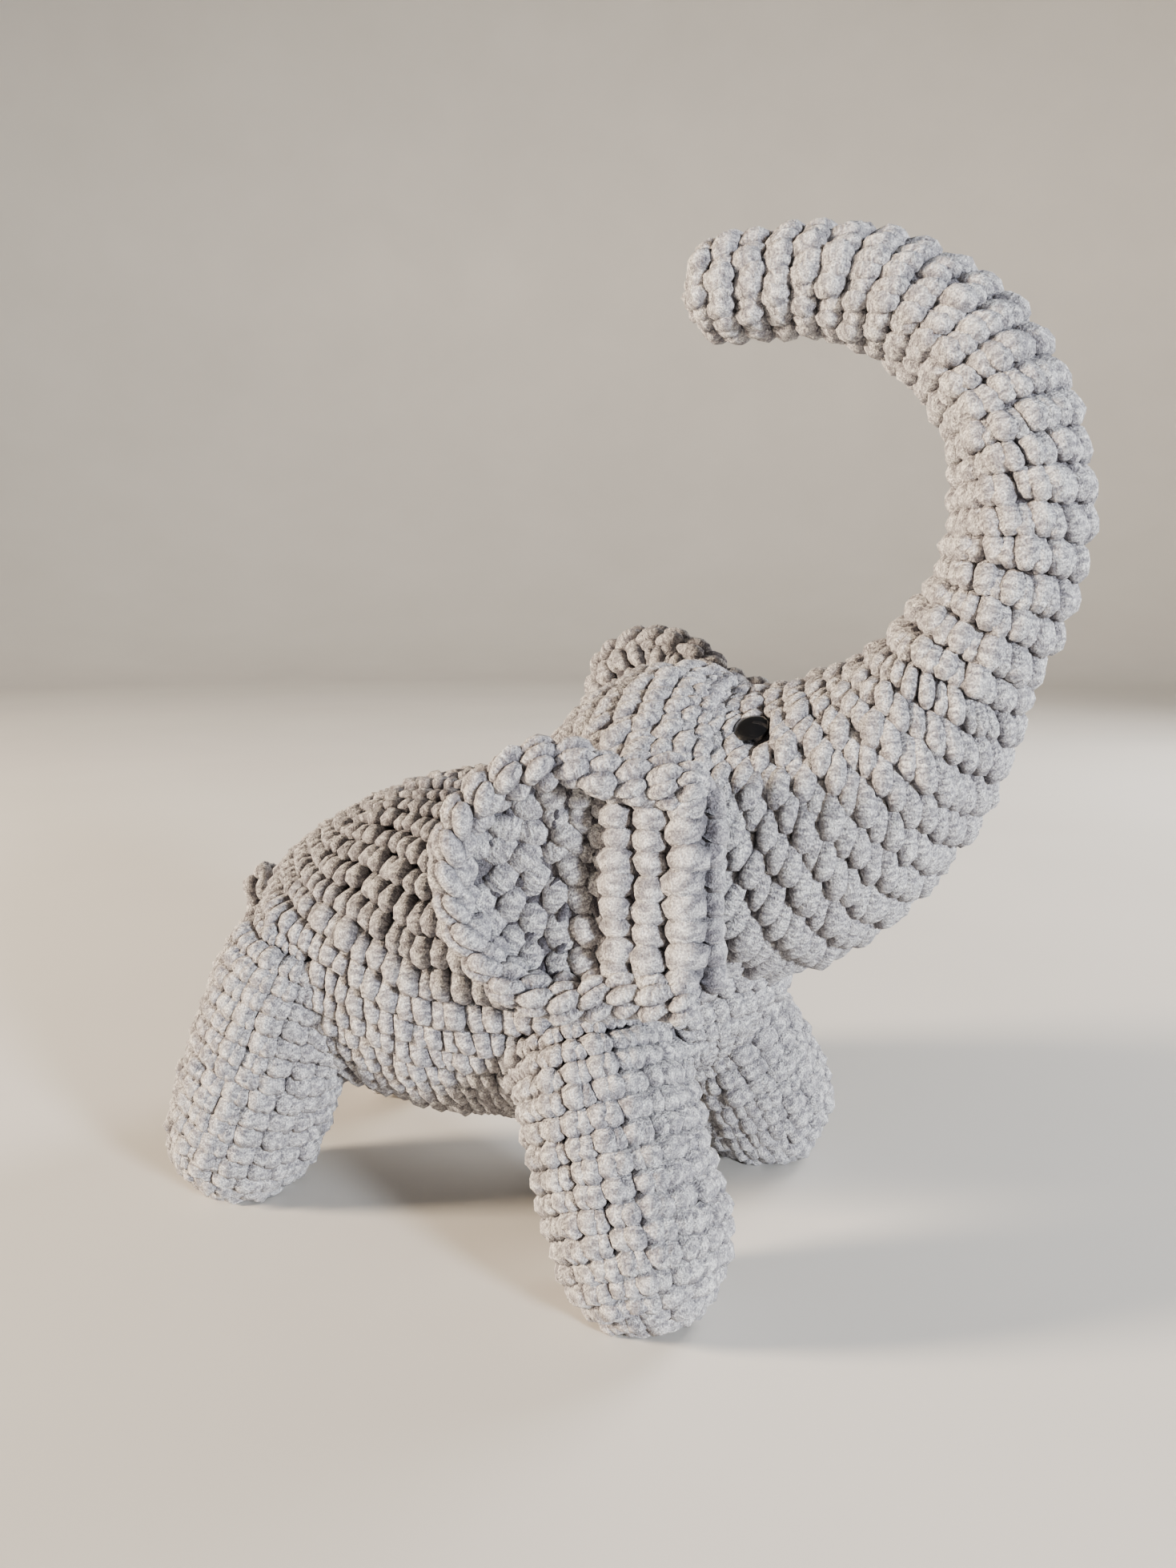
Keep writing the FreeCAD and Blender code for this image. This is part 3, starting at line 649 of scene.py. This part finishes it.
def body_fabric(rows=61, turns=192):
    """Rays out of a line inside the body, in rounds that close along the back and the belly.

    A round is half a front cap, the left side, the rear cap, the right side and the other half of
    the front cap. A heading of 0 points forward and one of pi points back.
    """
    straight = np.linalg.norm(REAR_MEDIAL - FRONT_MEDIAL)
    bend = 0.058                                  # radius of the widest round's two caps
    most_proud = 0.012                            # how far a ray may pass the egg's surface
    quarter = math.pi / 2
    lift = np.linspace(-86, 86, rows) * math.pi / 180
    origins, directions = [], []
    for angle in lift:
        cap = math.pi * bend * math.cos(angle)
        total = 2 * (straight + cap)
        place = np.arange(turns) / turns * total
        edges = np.cumsum([cap / 2, straight, cap, straight, cap / 2])
        part = np.minimum(np.searchsorted(edges, place, side="right"), 4)
        local = place - np.concatenate([[0], edges])[part]
        turned, along = local / max(bend * math.cos(angle), 1e-6), local / straight
        parts = [part == k for k in range(4)]
        heading = np.select(parts, [turned, quarter, quarter + turned, 3 * quarter],
                            3 * quarter + turned)
        share = np.select(parts, [0.0, along, 1.0, 1 - along], 0.0)
        back, up = medial_axes(share)
        flat = (np.sin(heading)[:, None] * X_AXIS - np.cos(heading)[:, None] * back)
        directions.append(math.cos(angle) * flat + math.sin(angle) * up)
        origins.append(medial(share))
    origins, directions = np.concatenate(origins), np.concatenate(directions)
    hits = reach(origins, directions)
    # the rays that go down a leg stop at the body's own side
    own = np.clip(body_depth(hits), None, most_proud)
    far = body_depth(hits) - own
    hits = hits - directions * np.maximum(far, 0)[:, None]
    return Fabric(hits.reshape(rows, turns, 3), lift=SKIN_DEPTH)


def in_body_zone(points):
    nearest_leg = np.min([leg_depth(points, leg) for leg in LEGS], axis=0)
    return body_depth(points) < nearest_leg + ZONE_OVERLAP


def outside_head(points):
    return np.linalg.norm(points - HEAD_CENTRE, axis=-1) > HEAD_RADIUS - ZONE_OVERLAP


def cupped(points, radius):
    """Skin points inside the head ball move back to the ball's inner side."""
    out = points.copy()
    inside = np.linalg.norm(points - HEAD_CENTRE, axis=1) < radius
    inward = unit(BODY_CENTRE - points[inside])
    offset = points[inside] - HEAD_CENTRE
    b = (offset * inward).sum(1)
    c = (offset ** 2).sum(1) - radius ** 2
    out[inside] = points[inside] + inward * (-b + np.sqrt(b * b - c))[:, None]
    return out


def good_length(sets, most):
    """Leave out strands that a fold of the surface has stretched or shrunk."""
    least = 0.002
    return [tuple(a[(s[3] < most) & (s[3] > least)] for a in s) for s in sets]


def roll_fabric(path, radius, turns=32):
    """Rounds about an open path, with round ends."""
    tangent = unit(np.gradient(path, axis=0))
    cap_rows = 8
    cap = np.radians(np.linspace(86, 6, cap_rows))
    first = path[0] - tangent[0] * (radius * np.sin(cap))[:, None]
    last = path[-1] + tangent[-1] * (radius * np.sin(cap[::-1]))[:, None]
    centre = np.concatenate([first, path, last])
    tangent = np.concatenate([np.repeat(tangent[:1], cap_rows, 0), tangent,
                              np.repeat(tangent[-1:], cap_rows, 0)])
    size = np.concatenate([radius * np.cos(cap), np.full(len(path), radius),
                           radius * np.cos(cap[::-1])])
    side = unit(np.cross(tangent, Z_AXIS))
    up = np.cross(side, tangent)
    turn = turns_of(turns)
    ring = np.sin(turn)[None, :, None] * side[:, None] - np.cos(turn)[None, :, None] * up[:, None]
    return Fabric.facing(centre[:, None] + size[:, None, None] * ring, ring)


def seam_roll(upward):
    """A row of stitches where the body's rounds close: the back for +1, the belly for -1."""
    radius, sunk = 0.0050, 0.0014
    share = np.linspace(0, 1, 30)
    up = medial_axes(share)[1] * upward
    roll = roll_fabric(reach(medial(share), up) - up * sunk, radius)
    rounds = Stitches(roll, END_GAP, roll.run[-1] - END_GAP, width=TAU * radius / 3,
                      height=0.0072, least=3, drift=0.1)
    facing_out = rounds.normal[:, 2] * upward > -0.2
    rounds = rounds.some(facing_out & outside_head(rounds.centre))
    return strands(rounds, SINGLE_STRAND, level=-0.0028, lean=0.3, fat=1.15, square=2.2)


body = body_fabric()
rounds = Stitches(body, END_GAP, body.run[-1] - END_GAP, width=0.0114, height=0.0088, drift=0.3)
rounds = rounds.some(in_body_zone(rounds.centre) & outside_head(rounds.centre))
sets = good_length(laid(rounds, EVEN_STRANDS, rings=6, lean=0.34, stretch=0.98, fat=1.24,
                        tile=0.0042, square=2.8), most=0.019)
body_piece = piece("body_fabric", strand_mesh(sets + [seam_roll(1), seam_roll(-1)]),
                   (cupped(coarse_points, HEAD_RADIUS + 0.001), coarse_faces))
finished(body_piece, "body", ["body_shell", "body_stuffing"])


# ---- legs
def leg_fabric(leg, turns=72):
    """From the middle of the sole out to its edge, then up the column and into the body."""
    past_hip, most_proud = 0.026, 0.012
    foot, hip = LEGS[leg]
    axis = unit(hip - foot)
    length = np.linalg.norm(hip - foot) + past_hip
    steps = [(a, 0.0) for a in np.linspace(-88, 0, 20)] + [
        (0.0, s) for s in np.linspace(0.003, length, 18)]
    origins, directions = [], []
    side = unit(np.cross(axis, np.array([0, 1.0, 0])))
    fore = np.cross(axis, side)
    turn = turns_of(turns)
    flat = np.cos(turn)[:, None] * fore + np.sin(turn)[:, None] * side
    for angle, rise in steps:
        a = math.radians(angle)
        directions.append(math.cos(a) * flat + math.sin(a) * axis)
        origins.append(np.repeat((foot + axis * rise)[None], turns, 0))
    directions = np.concatenate(directions)
    hits = reach(np.concatenate(origins), directions)
    hits = hits - directions * np.maximum(leg_depth(hits, leg) - most_proud, 0)[:, None]
    grid = hits.reshape(len(steps), turns, 3)
    return Fabric(grid[:, ::-1], lift=SKIN_DEPTH)


LEG_ROW, LEG_STITCHES, LEG_REACH = 0.0066, 19, 0.011
for leg in LEGS:
    cloth = leg_fabric(leg)
    rounds = Stitches(cloth, 0.0, cloth.run[-1], height=LEG_ROW, drift=0.05, most=LEG_STITCHES,
                      jitter=0.6)
    depth = leg_depth(rounds.centre, leg)
    own = depth < body_depth(rounds.centre) + ZONE_OVERLAP
    rounds = rounds.some(own & (depth < LEG_REACH))
    sets = good_length(laid(rounds, TWIN_STRANDS, lean=0.10, fat=1.32, stretch=0.90,
                            tile=0.0022), most=0.017)
    leg_piece = piece(f"{leg}_leg_fabric", strand_mesh(sets))
    finished(leg_piece, "body", [f"{leg}_leg_shell", f"{leg}_leg_stuffing"])


# ---- head and trunk
def arc_point(angle):
    """A point of the arc that the trunk's middle line follows."""
    a = math.radians(angle)
    return np.array([0, ARC_CENTRE[0] + ARC_RADIUS * math.cos(a),
                     ARC_CENTRE[1] + ARC_RADIUS * math.sin(a)])


def ball_rounds(y, z, radius, angles, heading):
    """Centres and radii of rounds over a ball, out along `heading`."""
    out = radius * np.sin(angles)
    return np.stack([y + out * heading[0], z + out * heading[1], radius * np.cos(angles)], 1)


def head_line(step=0.0015):
    """Centres, radii and headings of the rounds from the back of the head to the trunk's end."""
    knots = list(HEAD_ROUNDS)
    for (a0, r0), (a1, r1) in zip(TRUNK_ROUNDS, TRUNK_ROUNDS[1:]):
        parts = max(2, int(abs(a1 - a0) / 6))
        for j in range(parts):
            a, r = a0 + (a1 - a0) * j / parts, r0 + (r1 - r0) * j / parts
            knots.append((*arc_point(a)[1:], r))
    top = ARC_CENTRE[1] + ARC_RADIUS
    knots += [(ARC_CENTRE[0], top, TRUNK_END_RADIUS),
              (ARC_CENTRE[0] + TRUNK_END_RUN, top, TRUNK_END_RADIUS)]
    knots = np.array(knots)
    chord = np.concatenate([[0], np.cumsum(np.linalg.norm(np.diff(knots[:, :2], axis=0), axis=1))])
    s = np.arange(0, chord[-1], step)
    line = np.stack([np.interp(s, chord, knots[:, k]) for k in range(3)], 1)
    smooth = blurred(line, 6)
    edge = smoothstep(s, 0, 0.02)[:, None] * smoothstep(chord[-1] - s, 0, 0.01)[:, None]
    line = line * (1 - edge) + smooth * edge
    heading = unit(np.gradient(line[:, :2], axis=0))
    back_angle = np.radians(np.linspace(88, 3, 34))
    first = np.array([-1.0, 0.0])
    back = ball_rounds(*HEAD_CENTRE[1:], HEAD_RADIUS, back_angle, -first)
    end_angle = np.radians(np.linspace(4, 88, 16))
    last = heading[-1]
    end = ball_rounds(*line[-1], end_angle, last)
    heads = np.concatenate([np.repeat(first[None], len(back), 0), heading,
                            np.repeat(last[None], len(end), 0)])
    nape = len(back) + 14                 # headings are blended from the back to past the cheeks
    heads[:nape] = blurred(heads[:nape + 26], 6)[:nape]
    return np.concatenate([back, line, end]), unit(heads)


def head_trunk_grid(inset=0.0, turns=128):
    """Rounds about the line. u = 0 is the side that faces the inside of the trunk's bend."""
    line, heads = head_line()
    turn = turns_of(turns)
    inner = np.stack([np.zeros(len(heads)), heads[:, 1], -heads[:, 0]], 1)
    centre = np.stack([np.zeros(len(line)), line[:, 0], line[:, 1]], 1)
    radius = np.maximum(line[:, 2] - inset, 0.0005)[:, None, None]
    ring = (np.cos(turn)[None, :, None] * inner[:, None, :]
            + np.sin(turn)[None, :, None] * X_AXIS[None, None, :])
    return centre[:, None, :] + radius * ring


head = Fabric(head_trunk_grid()[:, ::-1])


def run_near(fabric, point):
    """Distance along the rounds to the one about a point of the line."""
    middle = fabric.p.mean(axis=1)
    return fabric.run[np.argmin(np.linalg.norm(middle - point, axis=1))]


BEND_HALF = 0.016             # half the length of trunk that bends at a joint
bend_runs = {name: run_near(head, arc_point(angle)) for name, angle in BENDS.items()}


def head_stitch_width(run):
    """The stitches are wider round the cheeks than on the trunk."""
    cheek_width, cheek_end = 0.0118, bend_runs["root"] - 0.018
    return cheek_width if run < cheek_end else STITCH_WIDTH


# a fresh seed, so that the head is the same whether or not the cloth was simulated
rng = np.random.default_rng(YARN_SEED)
all_rounds = Stitches(head, END_GAP, head.run[-1] - END_GAP, width=head_stitch_width, drift=0.35)
inner_grid = head_trunk_grid(SKIN_DEPTH - 0.0016)[:, ::-1]


def tube_skin(start, end):
    """A closed length of the skin under the strands of the head and trunk."""
    rows = np.where((head.run >= start) & (head.run <= end))[0]
    rows = rows[::2] if len(rows) > 4 else rows
    return closed(inner_grid[rows][:, ::2])


EYE_RISE = 0.0012             # the crown of an eye above the fabric
EYE_HOLE, EYE_PULL = 0.0033, 0.0092       # strands nearer than PULL move out, none inside HOLE
EYE_REACH, EYE_CLEAR = 0.012, 0.0035      # how deep that goes; no stitch has its centre in CLEAR


def eye_axis(side):
    """Where an eye's axis crosses the fabric, and the way that it looks."""
    out = unit(np.array([side * 0.613, 0.067, 0.787]))
    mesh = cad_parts["eye_left" if side > 0 else "eye_right"].data
    p = np.array([v.co for v in mesh.vertices])
    return p[np.argmax(p @ out)] - out * EYE_RISE, out


def parted(points):
    """Strands near an eye move aside for it."""
    out = points.copy()
    for side in (-1, 1):
        place, axis = eye_axis(side)
        offset = points - place
        along = offset @ axis
        radial = offset - along[:, None] * axis
        far = np.linalg.norm(radial, axis=1)
        near = (far < EYE_PULL) & (np.abs(along) < EYE_REACH)
        pushed = EYE_HOLE + far * (1 - EYE_HOLE / EYE_PULL)
        out[near] += (radial * (pushed / np.maximum(far, 1e-6) - 1)[:, None])[near]
    return out


def away_from_eyes(centres):
    """Which stitches aren't right under an eye."""
    out = np.ones(len(centres), bool)
    for side in (-1, 1):
        out &= np.linalg.norm(centres - eye_axis(side)[0], axis=1) > EYE_CLEAR
    return out


def trunk_piece(name, start, end):
    """The head or a length of the trunk, between two distances along the rounds."""
    part = all_rounds.some((all_rounds.v >= start) & (all_rounds.v < end))
    cheek = 1 - smoothstep(part.v, bend_runs["root"] - 0.035, bend_runs["root"] + 0.005)
    inner = 0.5 + 0.5 * np.cos(TAU * part.u)             # 1 inside the trunk's bend, 0 outside
    lean = cheek * 0.84 + (1 - cheek) * (0.12 + 0.50 * inner)
    sets = []
    for zone, patterns, stretch, fat, square in ((cheek > 0.5, EVEN_STRANDS, 1.12, 1.10, 2.6),
                                                 (cheek <= 0.5, TWIN_STRANDS, 0.95, 1.22, 2.9)):
        zone = zone & away_from_eyes(part.centre)
        if zone.any():
            sets += laid(part.some(zone), patterns, lean=lean[zone], stretch=stretch, fat=fat,
                         square=square, tile=0.0012, drop=0.16, level=-0.0030)
    points, faces, marks = strand_mesh(sets)
    return piece(name, (parted(points), faces, marks), tube_skin(start, end))


splits = [bend_runs[k] - BEND_HALF for k in BENDS] + [head.run[-1] + 1]
head_piece = trunk_piece("head_fabric", 0.0, splits[0])
finished(head_piece, "head", ["head_shell", "head_stuffing"])
CHAIN = [("root", "head", "trunk_lower"), ("middle", "trunk_lower", "trunk_middle"),
         ("tip", "trunk_middle", "trunk_tip")]
for (bend, before, after), start, end in zip(CHAIN, splits, splits[1:]):
    item = trunk_piece(f"{after}_fabric", start, end)
    pivot = arc_point(BENDS[bend])
    a = math.radians(BENDS[bend])
    toward = np.array([0, math.sin(a), -math.cos(a)])       # along the trunk, toward its end
    finished(item, after, [f"{after}_shell", f"{after}_stuffing"],
             blend=(before, after, tuple(pivot - toward * BEND_HALF),
                    tuple(pivot + toward * BEND_HALF)))


# ---- ears
# plan radius, the bowl's own radius and the thickness of the ear; then its folded straight edge
EAR_RADIUS, EAR_BOWL, EAR_THICK = 0.0375, 0.133, 0.009
FOLD_X, FOLD_HEIGHT = -0.0372, 0.0115
DISC_TURNS = 96
# side, place of the middle, lean out and tilt in degrees
EARS = {"right": (-1, (0.0559, -0.0245, 0.131), 0.0, 0.0),
        "left": (1, (0.0548, 0.0010, 0.157), 12.0, -26.0)}
EAR_TURN = math.radians(14)


def ear_frame(side, place, lean, tilt):
    """The ear's own axes as columns: back, up and out of the hollow side, and its place."""
    lean, tilt = math.radians(lean), math.radians(-side * tilt)
    back = Vector((side * math.sin(EAR_TURN), math.cos(EAR_TURN), 0))
    level = Vector((side * math.cos(EAR_TURN), -math.sin(EAR_TURN), 0))
    out = level * math.cos(lean) + Vector((0, 0, 1)) * math.sin(lean)
    back = Matrix.Rotation(tilt, 3, out) @ back
    up = out.cross(back)
    axes = np.array([back, up, out])
    return axes, np.array([side * place[0], place[1], place[2]])


def ear_bowl(x, y, thick):
    """Height of the bowl over its back at a point of the plan."""
    r2 = np.minimum(x * x + y * y, EAR_BOWL ** 2 * 0.9)
    return EAR_BOWL + EAR_THICK - np.sqrt((EAR_BOWL + EAR_THICK) ** 2 - r2) + thick


def disc_grid(thick, edge, ring_y=0.0, turns=DISC_TURNS, rows=30):
    """One face of the ear, in rounds about a middle that is `ring_y` off the ear's own."""
    share = np.linspace(0.02, 1, rows)[:, None]
    turn = turns_of(turns)[None]
    x = share * edge * np.cos(turn)
    y = share * edge * np.sin(turn) + ring_y * (1 - share)
    x = np.maximum(x, FOLD_X + 0.004)
    return np.stack([x, y, ear_bowl(x, y, thick)], 2)


def ear_edge(top):
    """The ear's thick edge, from the top of the fold round the back to the bottom of the fold."""
    a = np.radians(np.linspace(118, -118, 44))
    edge, fold, straight = EAR_RADIUS - 0.0052, -0.034, 6
    longer = 1 + 0.09 * smoothstep(-np.sin(a), 0, 1)          # the ear hangs lower than it rises
    x, y = edge * np.cos(a), edge * np.sin(a) * longer
    x = np.concatenate([np.linspace(fold, x[0] - 0.003, straight), x,
                        np.linspace(x[-1] - 0.003, fold, straight)])
    y = np.concatenate([np.full(straight, y[0]), y, np.full(straight, y[-1])]) * top
    return np.stack([x, y, ear_bowl(x, y, 0.0094)], 1)


def column(x, low, high, height, top):
    """A straight path up the ear at `x`."""
    y = np.linspace(high, low, 16) * top
    return np.stack([x + 0 * y, y, height + 0 * y], 1)


def ear_rolls(top):
    """Path, radius, row, lean and patterns of the ear's rim, of two columns and of its fold."""
    return ((ear_edge(top), 0.0058, 0.0090, 0.45, EVEN_STRANDS),
            (column(-0.0165, -0.0285, 0.0270, 0.0078, top), 0.0056, 0.0066, 0.30, [SINGLE_STRAND]),
            (column(-0.0255, -0.0295, 0.0270, 0.0096, top), 0.0062, 0.0068, 0.22, [SINGLE_STRAND]),
            (column(FOLD_X + 0.0018, -0.0270, 0.0235, FOLD_HEIGHT, top), 0.0070, 0.0068, 0.30,
             [SINGLE_STRAND]))


def ear_cores(top):
    """Plain tubes under the ear's rolls and between its columns, so no gap is open."""
    between = ((column(-0.0305, -0.0265, 0.0240, 0.0096, top), 0.0056),
               (column(-0.0208, -0.0275, 0.0260, 0.0080, top), 0.0052),
               (column(-0.0118, -0.0240, 0.0230, 0.0040, top), 0.0044))
    return ([closed_tube(path, radius - 0.0020) for path, radius, *_ in ear_rolls(top)]
            + [closed_tube(path, radius) for path, radius in between])


def ear_sets(top):
    """The strands of one ear in its own axes. `top` is +1 where its second axis points up."""
    face = disc_grid(0.0052, 0.0325, 0.007 * top)
    outward = np.broadcast_to(Z_AXIS, face.shape)
    face = Fabric.facing(face, outward)
    rounds = Stitches(face, 0.0004, face.run[-1], width=0.0080, height=0.0086, least=4, drift=0.4,
                      jitter=1.6)
    in_bowl = np.linalg.norm(rounds.centre[:, :2], axis=1) < 0.0286
    rounds = rounds.some((rounds.centre[:, 0] > -0.0140) & in_bowl)
    sets = [strands(rounds, SINGLE_STRAND, level=-0.0016, lean=0.45, stretch=1.16, fat=1.22)]
    back = Fabric.facing(disc_grid(0.0, EAR_RADIUS - 0.0045, 0.004 * top), -outward)
    sets += laid(Stitches(back, 0.0004, back.run[-1]), PAIR, lean=0.3)
    for path, radius, height, lean, patterns in ear_rolls(top):
        roll = roll_fabric(path, radius)
        if len(patterns) == 1:
            jitter, look = 1.2, dict(level=-0.0028, fat=1.16, stretch=0.90, square=2.1)
        else:
            jitter, look = 1.0, dict(level=-0.0026, fat=1.12)
        rounds = Stitches(roll, END_GAP, roll.run[-1] - END_GAP, width=TAU * radius / 3,
                          height=height, least=3, drift=0.0, jitter=jitter)
        sets += laid(rounds, patterns, lean=lean, **look)
    return sets


def ear_pad(turns=64):
    """The closed pad inside the ear, thicker under the columns at its folded side."""
    column_height = 0.0122
    low, high = (disc_grid(thick, 0.033, turns=turns, rows=16) for thick in (0.0035, 0.0052))
    folded = smoothstep(-high[..., 0], 0.0095, 0.0165)
    high[..., 2] += (column_height - high[..., 2]) * folded
    return closed(np.concatenate([low, high[::-1]]))


def closed_tube(path, radius, turns=16):
    """A plain closed tube about an open path."""
    return closed(roll_fabric(path, radius, turns).p)


def ear_piece(side_name):
    side, place, lean, tilt = EARS[side_name]
    axes, origin = ear_frame(side, place, lean, tilt)
    points, faces, marks = strand_mesh(ear_sets(side))
    inside = [ear_pad()] + ear_cores(side)
    inner_points = np.concatenate([p for p, _ in inside])
    starts = np.cumsum([0] + [len(p) for p, _ in inside])
    inner_faces = [tuple(i + start for i in f)
                   for (_, part), start in zip(inside, starts) for f in part]
    return piece(f"ear_{side_name}_fabric", (points @ axes + origin, faces, marks),
                 (inner_points @ axes + origin, inner_faces))


for side_name in ("right", "left"):
    rng = np.random.default_rng(EAR_SEED)
    finished(ear_piece(side_name), f"ear_{side_name}", [f"ear_{side_name}"])


# ---- tail
TAIL_ROOT = np.array([0, 0.1387, 0.098])
TAIL_LEAN = math.radians(10)
TAIL_LENGTH, TAIL_RADIUS, TAIL_CORE, TAIL_GAP = 0.050, 0.0065, 0.0034, 0.0005
down = np.array([0, math.sin(TAIL_LEAN), -math.cos(TAIL_LEAN)])
tail_path = TAIL_ROOT + down * np.linspace(0, TAIL_LENGTH, 14)[:, None]
tail = roll_fabric(tail_path, TAIL_RADIUS)
rounds = Stitches(tail, TAIL_GAP, tail.run[-1] - TAIL_GAP, width=0.0130, height=0.0082, least=3,
                  drift=0.3)
sets = laid(rounds, EVEN_STRANDS, level=-0.0028, lean=0.3, fat=1.15)
tail_piece = piece("tail_fabric", strand_mesh(sets), closed_tube(tail_path, TAIL_CORE))
finished(tail_piece, "tail", ["tail"])

# ---- carried-over parts
for name, material in (("eye_right", EYE), ("eye_left", EYE),
                       ("eye_washer_right", WASHER), ("eye_washer_left", WASHER)):
    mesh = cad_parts[name].data
    mesh.materials.clear()
    mesh.materials.append(material)
bpy.data.objects.remove(skin)


# ---- floor, light and camera
def floor():
    """A pale floor that turns up into a round wall far behind the object."""
    turns, flat, curve, wall_top = 96, 2.6, 1.6, 3.2
    turn = turns_of(turns)
    ring = np.stack([np.cos(turn), np.sin(turn), np.zeros(turns)], 1)
    bend = np.radians(np.linspace(0, 80, 14))
    profile = [(0.5, 0.0), (1.5, 0.0), (flat, 0.0)]
    profile += [(flat + curve * math.sin(a), curve * (1 - math.cos(a))) for a in bend[1:]]
    profile += [(profile[-1][0] + 0.15, wall_top)]
    points = np.concatenate([[np.zeros(3)]] + [ring * r + Z_AXIS * z for r, z in profile])
    faces = [(0, 1 + j, 1 + (j + 1) % turns) for j in range(turns)]
    for i in range(len(profile) - 1):
        a = 1 + i * turns
        faces += [(a + j, a + turns + j, a + turns + (j + 1) % turns, a + (j + 1) % turns)
                  for j in range(turns)]
    item = mesh_object("floor", points, faces)
    item.data.shade_smooth()
    material, graph, shader = new_material("floor_paint")
    place = object_place(graph)
    tone = ramp(graph, noise(graph, place, 3, 3.0),
                [(0.3, (0.60, 0.585, 0.56)), (0.7, (0.63, 0.615, 0.59))])
    graph.links.new(tone, shader.inputs["Base Color"])
    shader.inputs["Roughness"].default_value = 0.75
    item.data.materials.append(material)


def area_light(name, place, target, size, power, colour):
    light = bpy.data.lights.new(name, "AREA")
    light.shape, light.size = "DISK", size
    light.energy, light.color = power, colour
    item = bpy.data.objects.new(name, light)
    item.location = place
    item.rotation_euler = (Vector(target) - Vector(place)).to_track_quat("-Z", "Y").to_euler()
    item.visible_camera = False
    bpy.context.scene.collection.objects.link(item)


floor()
area_light("front", (-1.00, -2.10, 0.58), (0, 0, 0.15), 0.42, 84, (0.90, 0.95, 1.0))
area_light("side", (-1.25, 1.95, 0.66), (0, 0, 0.12), 0.46, 150, (1.0, 0.82, 0.62))
area_light("far side", (1.35, -0.75, 0.95), (0, 0, 0.13), 0.9, 22, (1.0, 0.97, 0.94))
area_light("backdrop", (1.2, 0.6, 2.2), (3.6, 1.8, 0.7), 1.6, 20, (1.0, 0.95, 0.88))
bpy.context.scene.view_settings.look = "AgX - Medium High Contrast"
world = bpy.data.worlds.new("studio")
world.use_nodes = True
set_inputs(world.node_tree.nodes["Background"], {"Color": (0.86, 0.84, 0.82, 1), "Strength": 0.12})
bpy.context.scene.world = world

camera = bpy.data.cameras.new("camera")
camera.sensor_width, camera.sensor_fit = 36.0, "AUTO"
camera.lens = 27.03
camera.clip_start, camera.clip_end = 0.01, 20
viewer = bpy.data.objects.new("camera", camera)
viewer.location = (-0.35215, -0.17315, 0.20883)
viewer.rotation_euler = Vector((0.8881, 0.4315, -0.1583)).to_track_quat("-Z", "Y").to_euler()
bpy.context.scene.collection.objects.link(viewer)
bpy.context.scene.camera = viewer
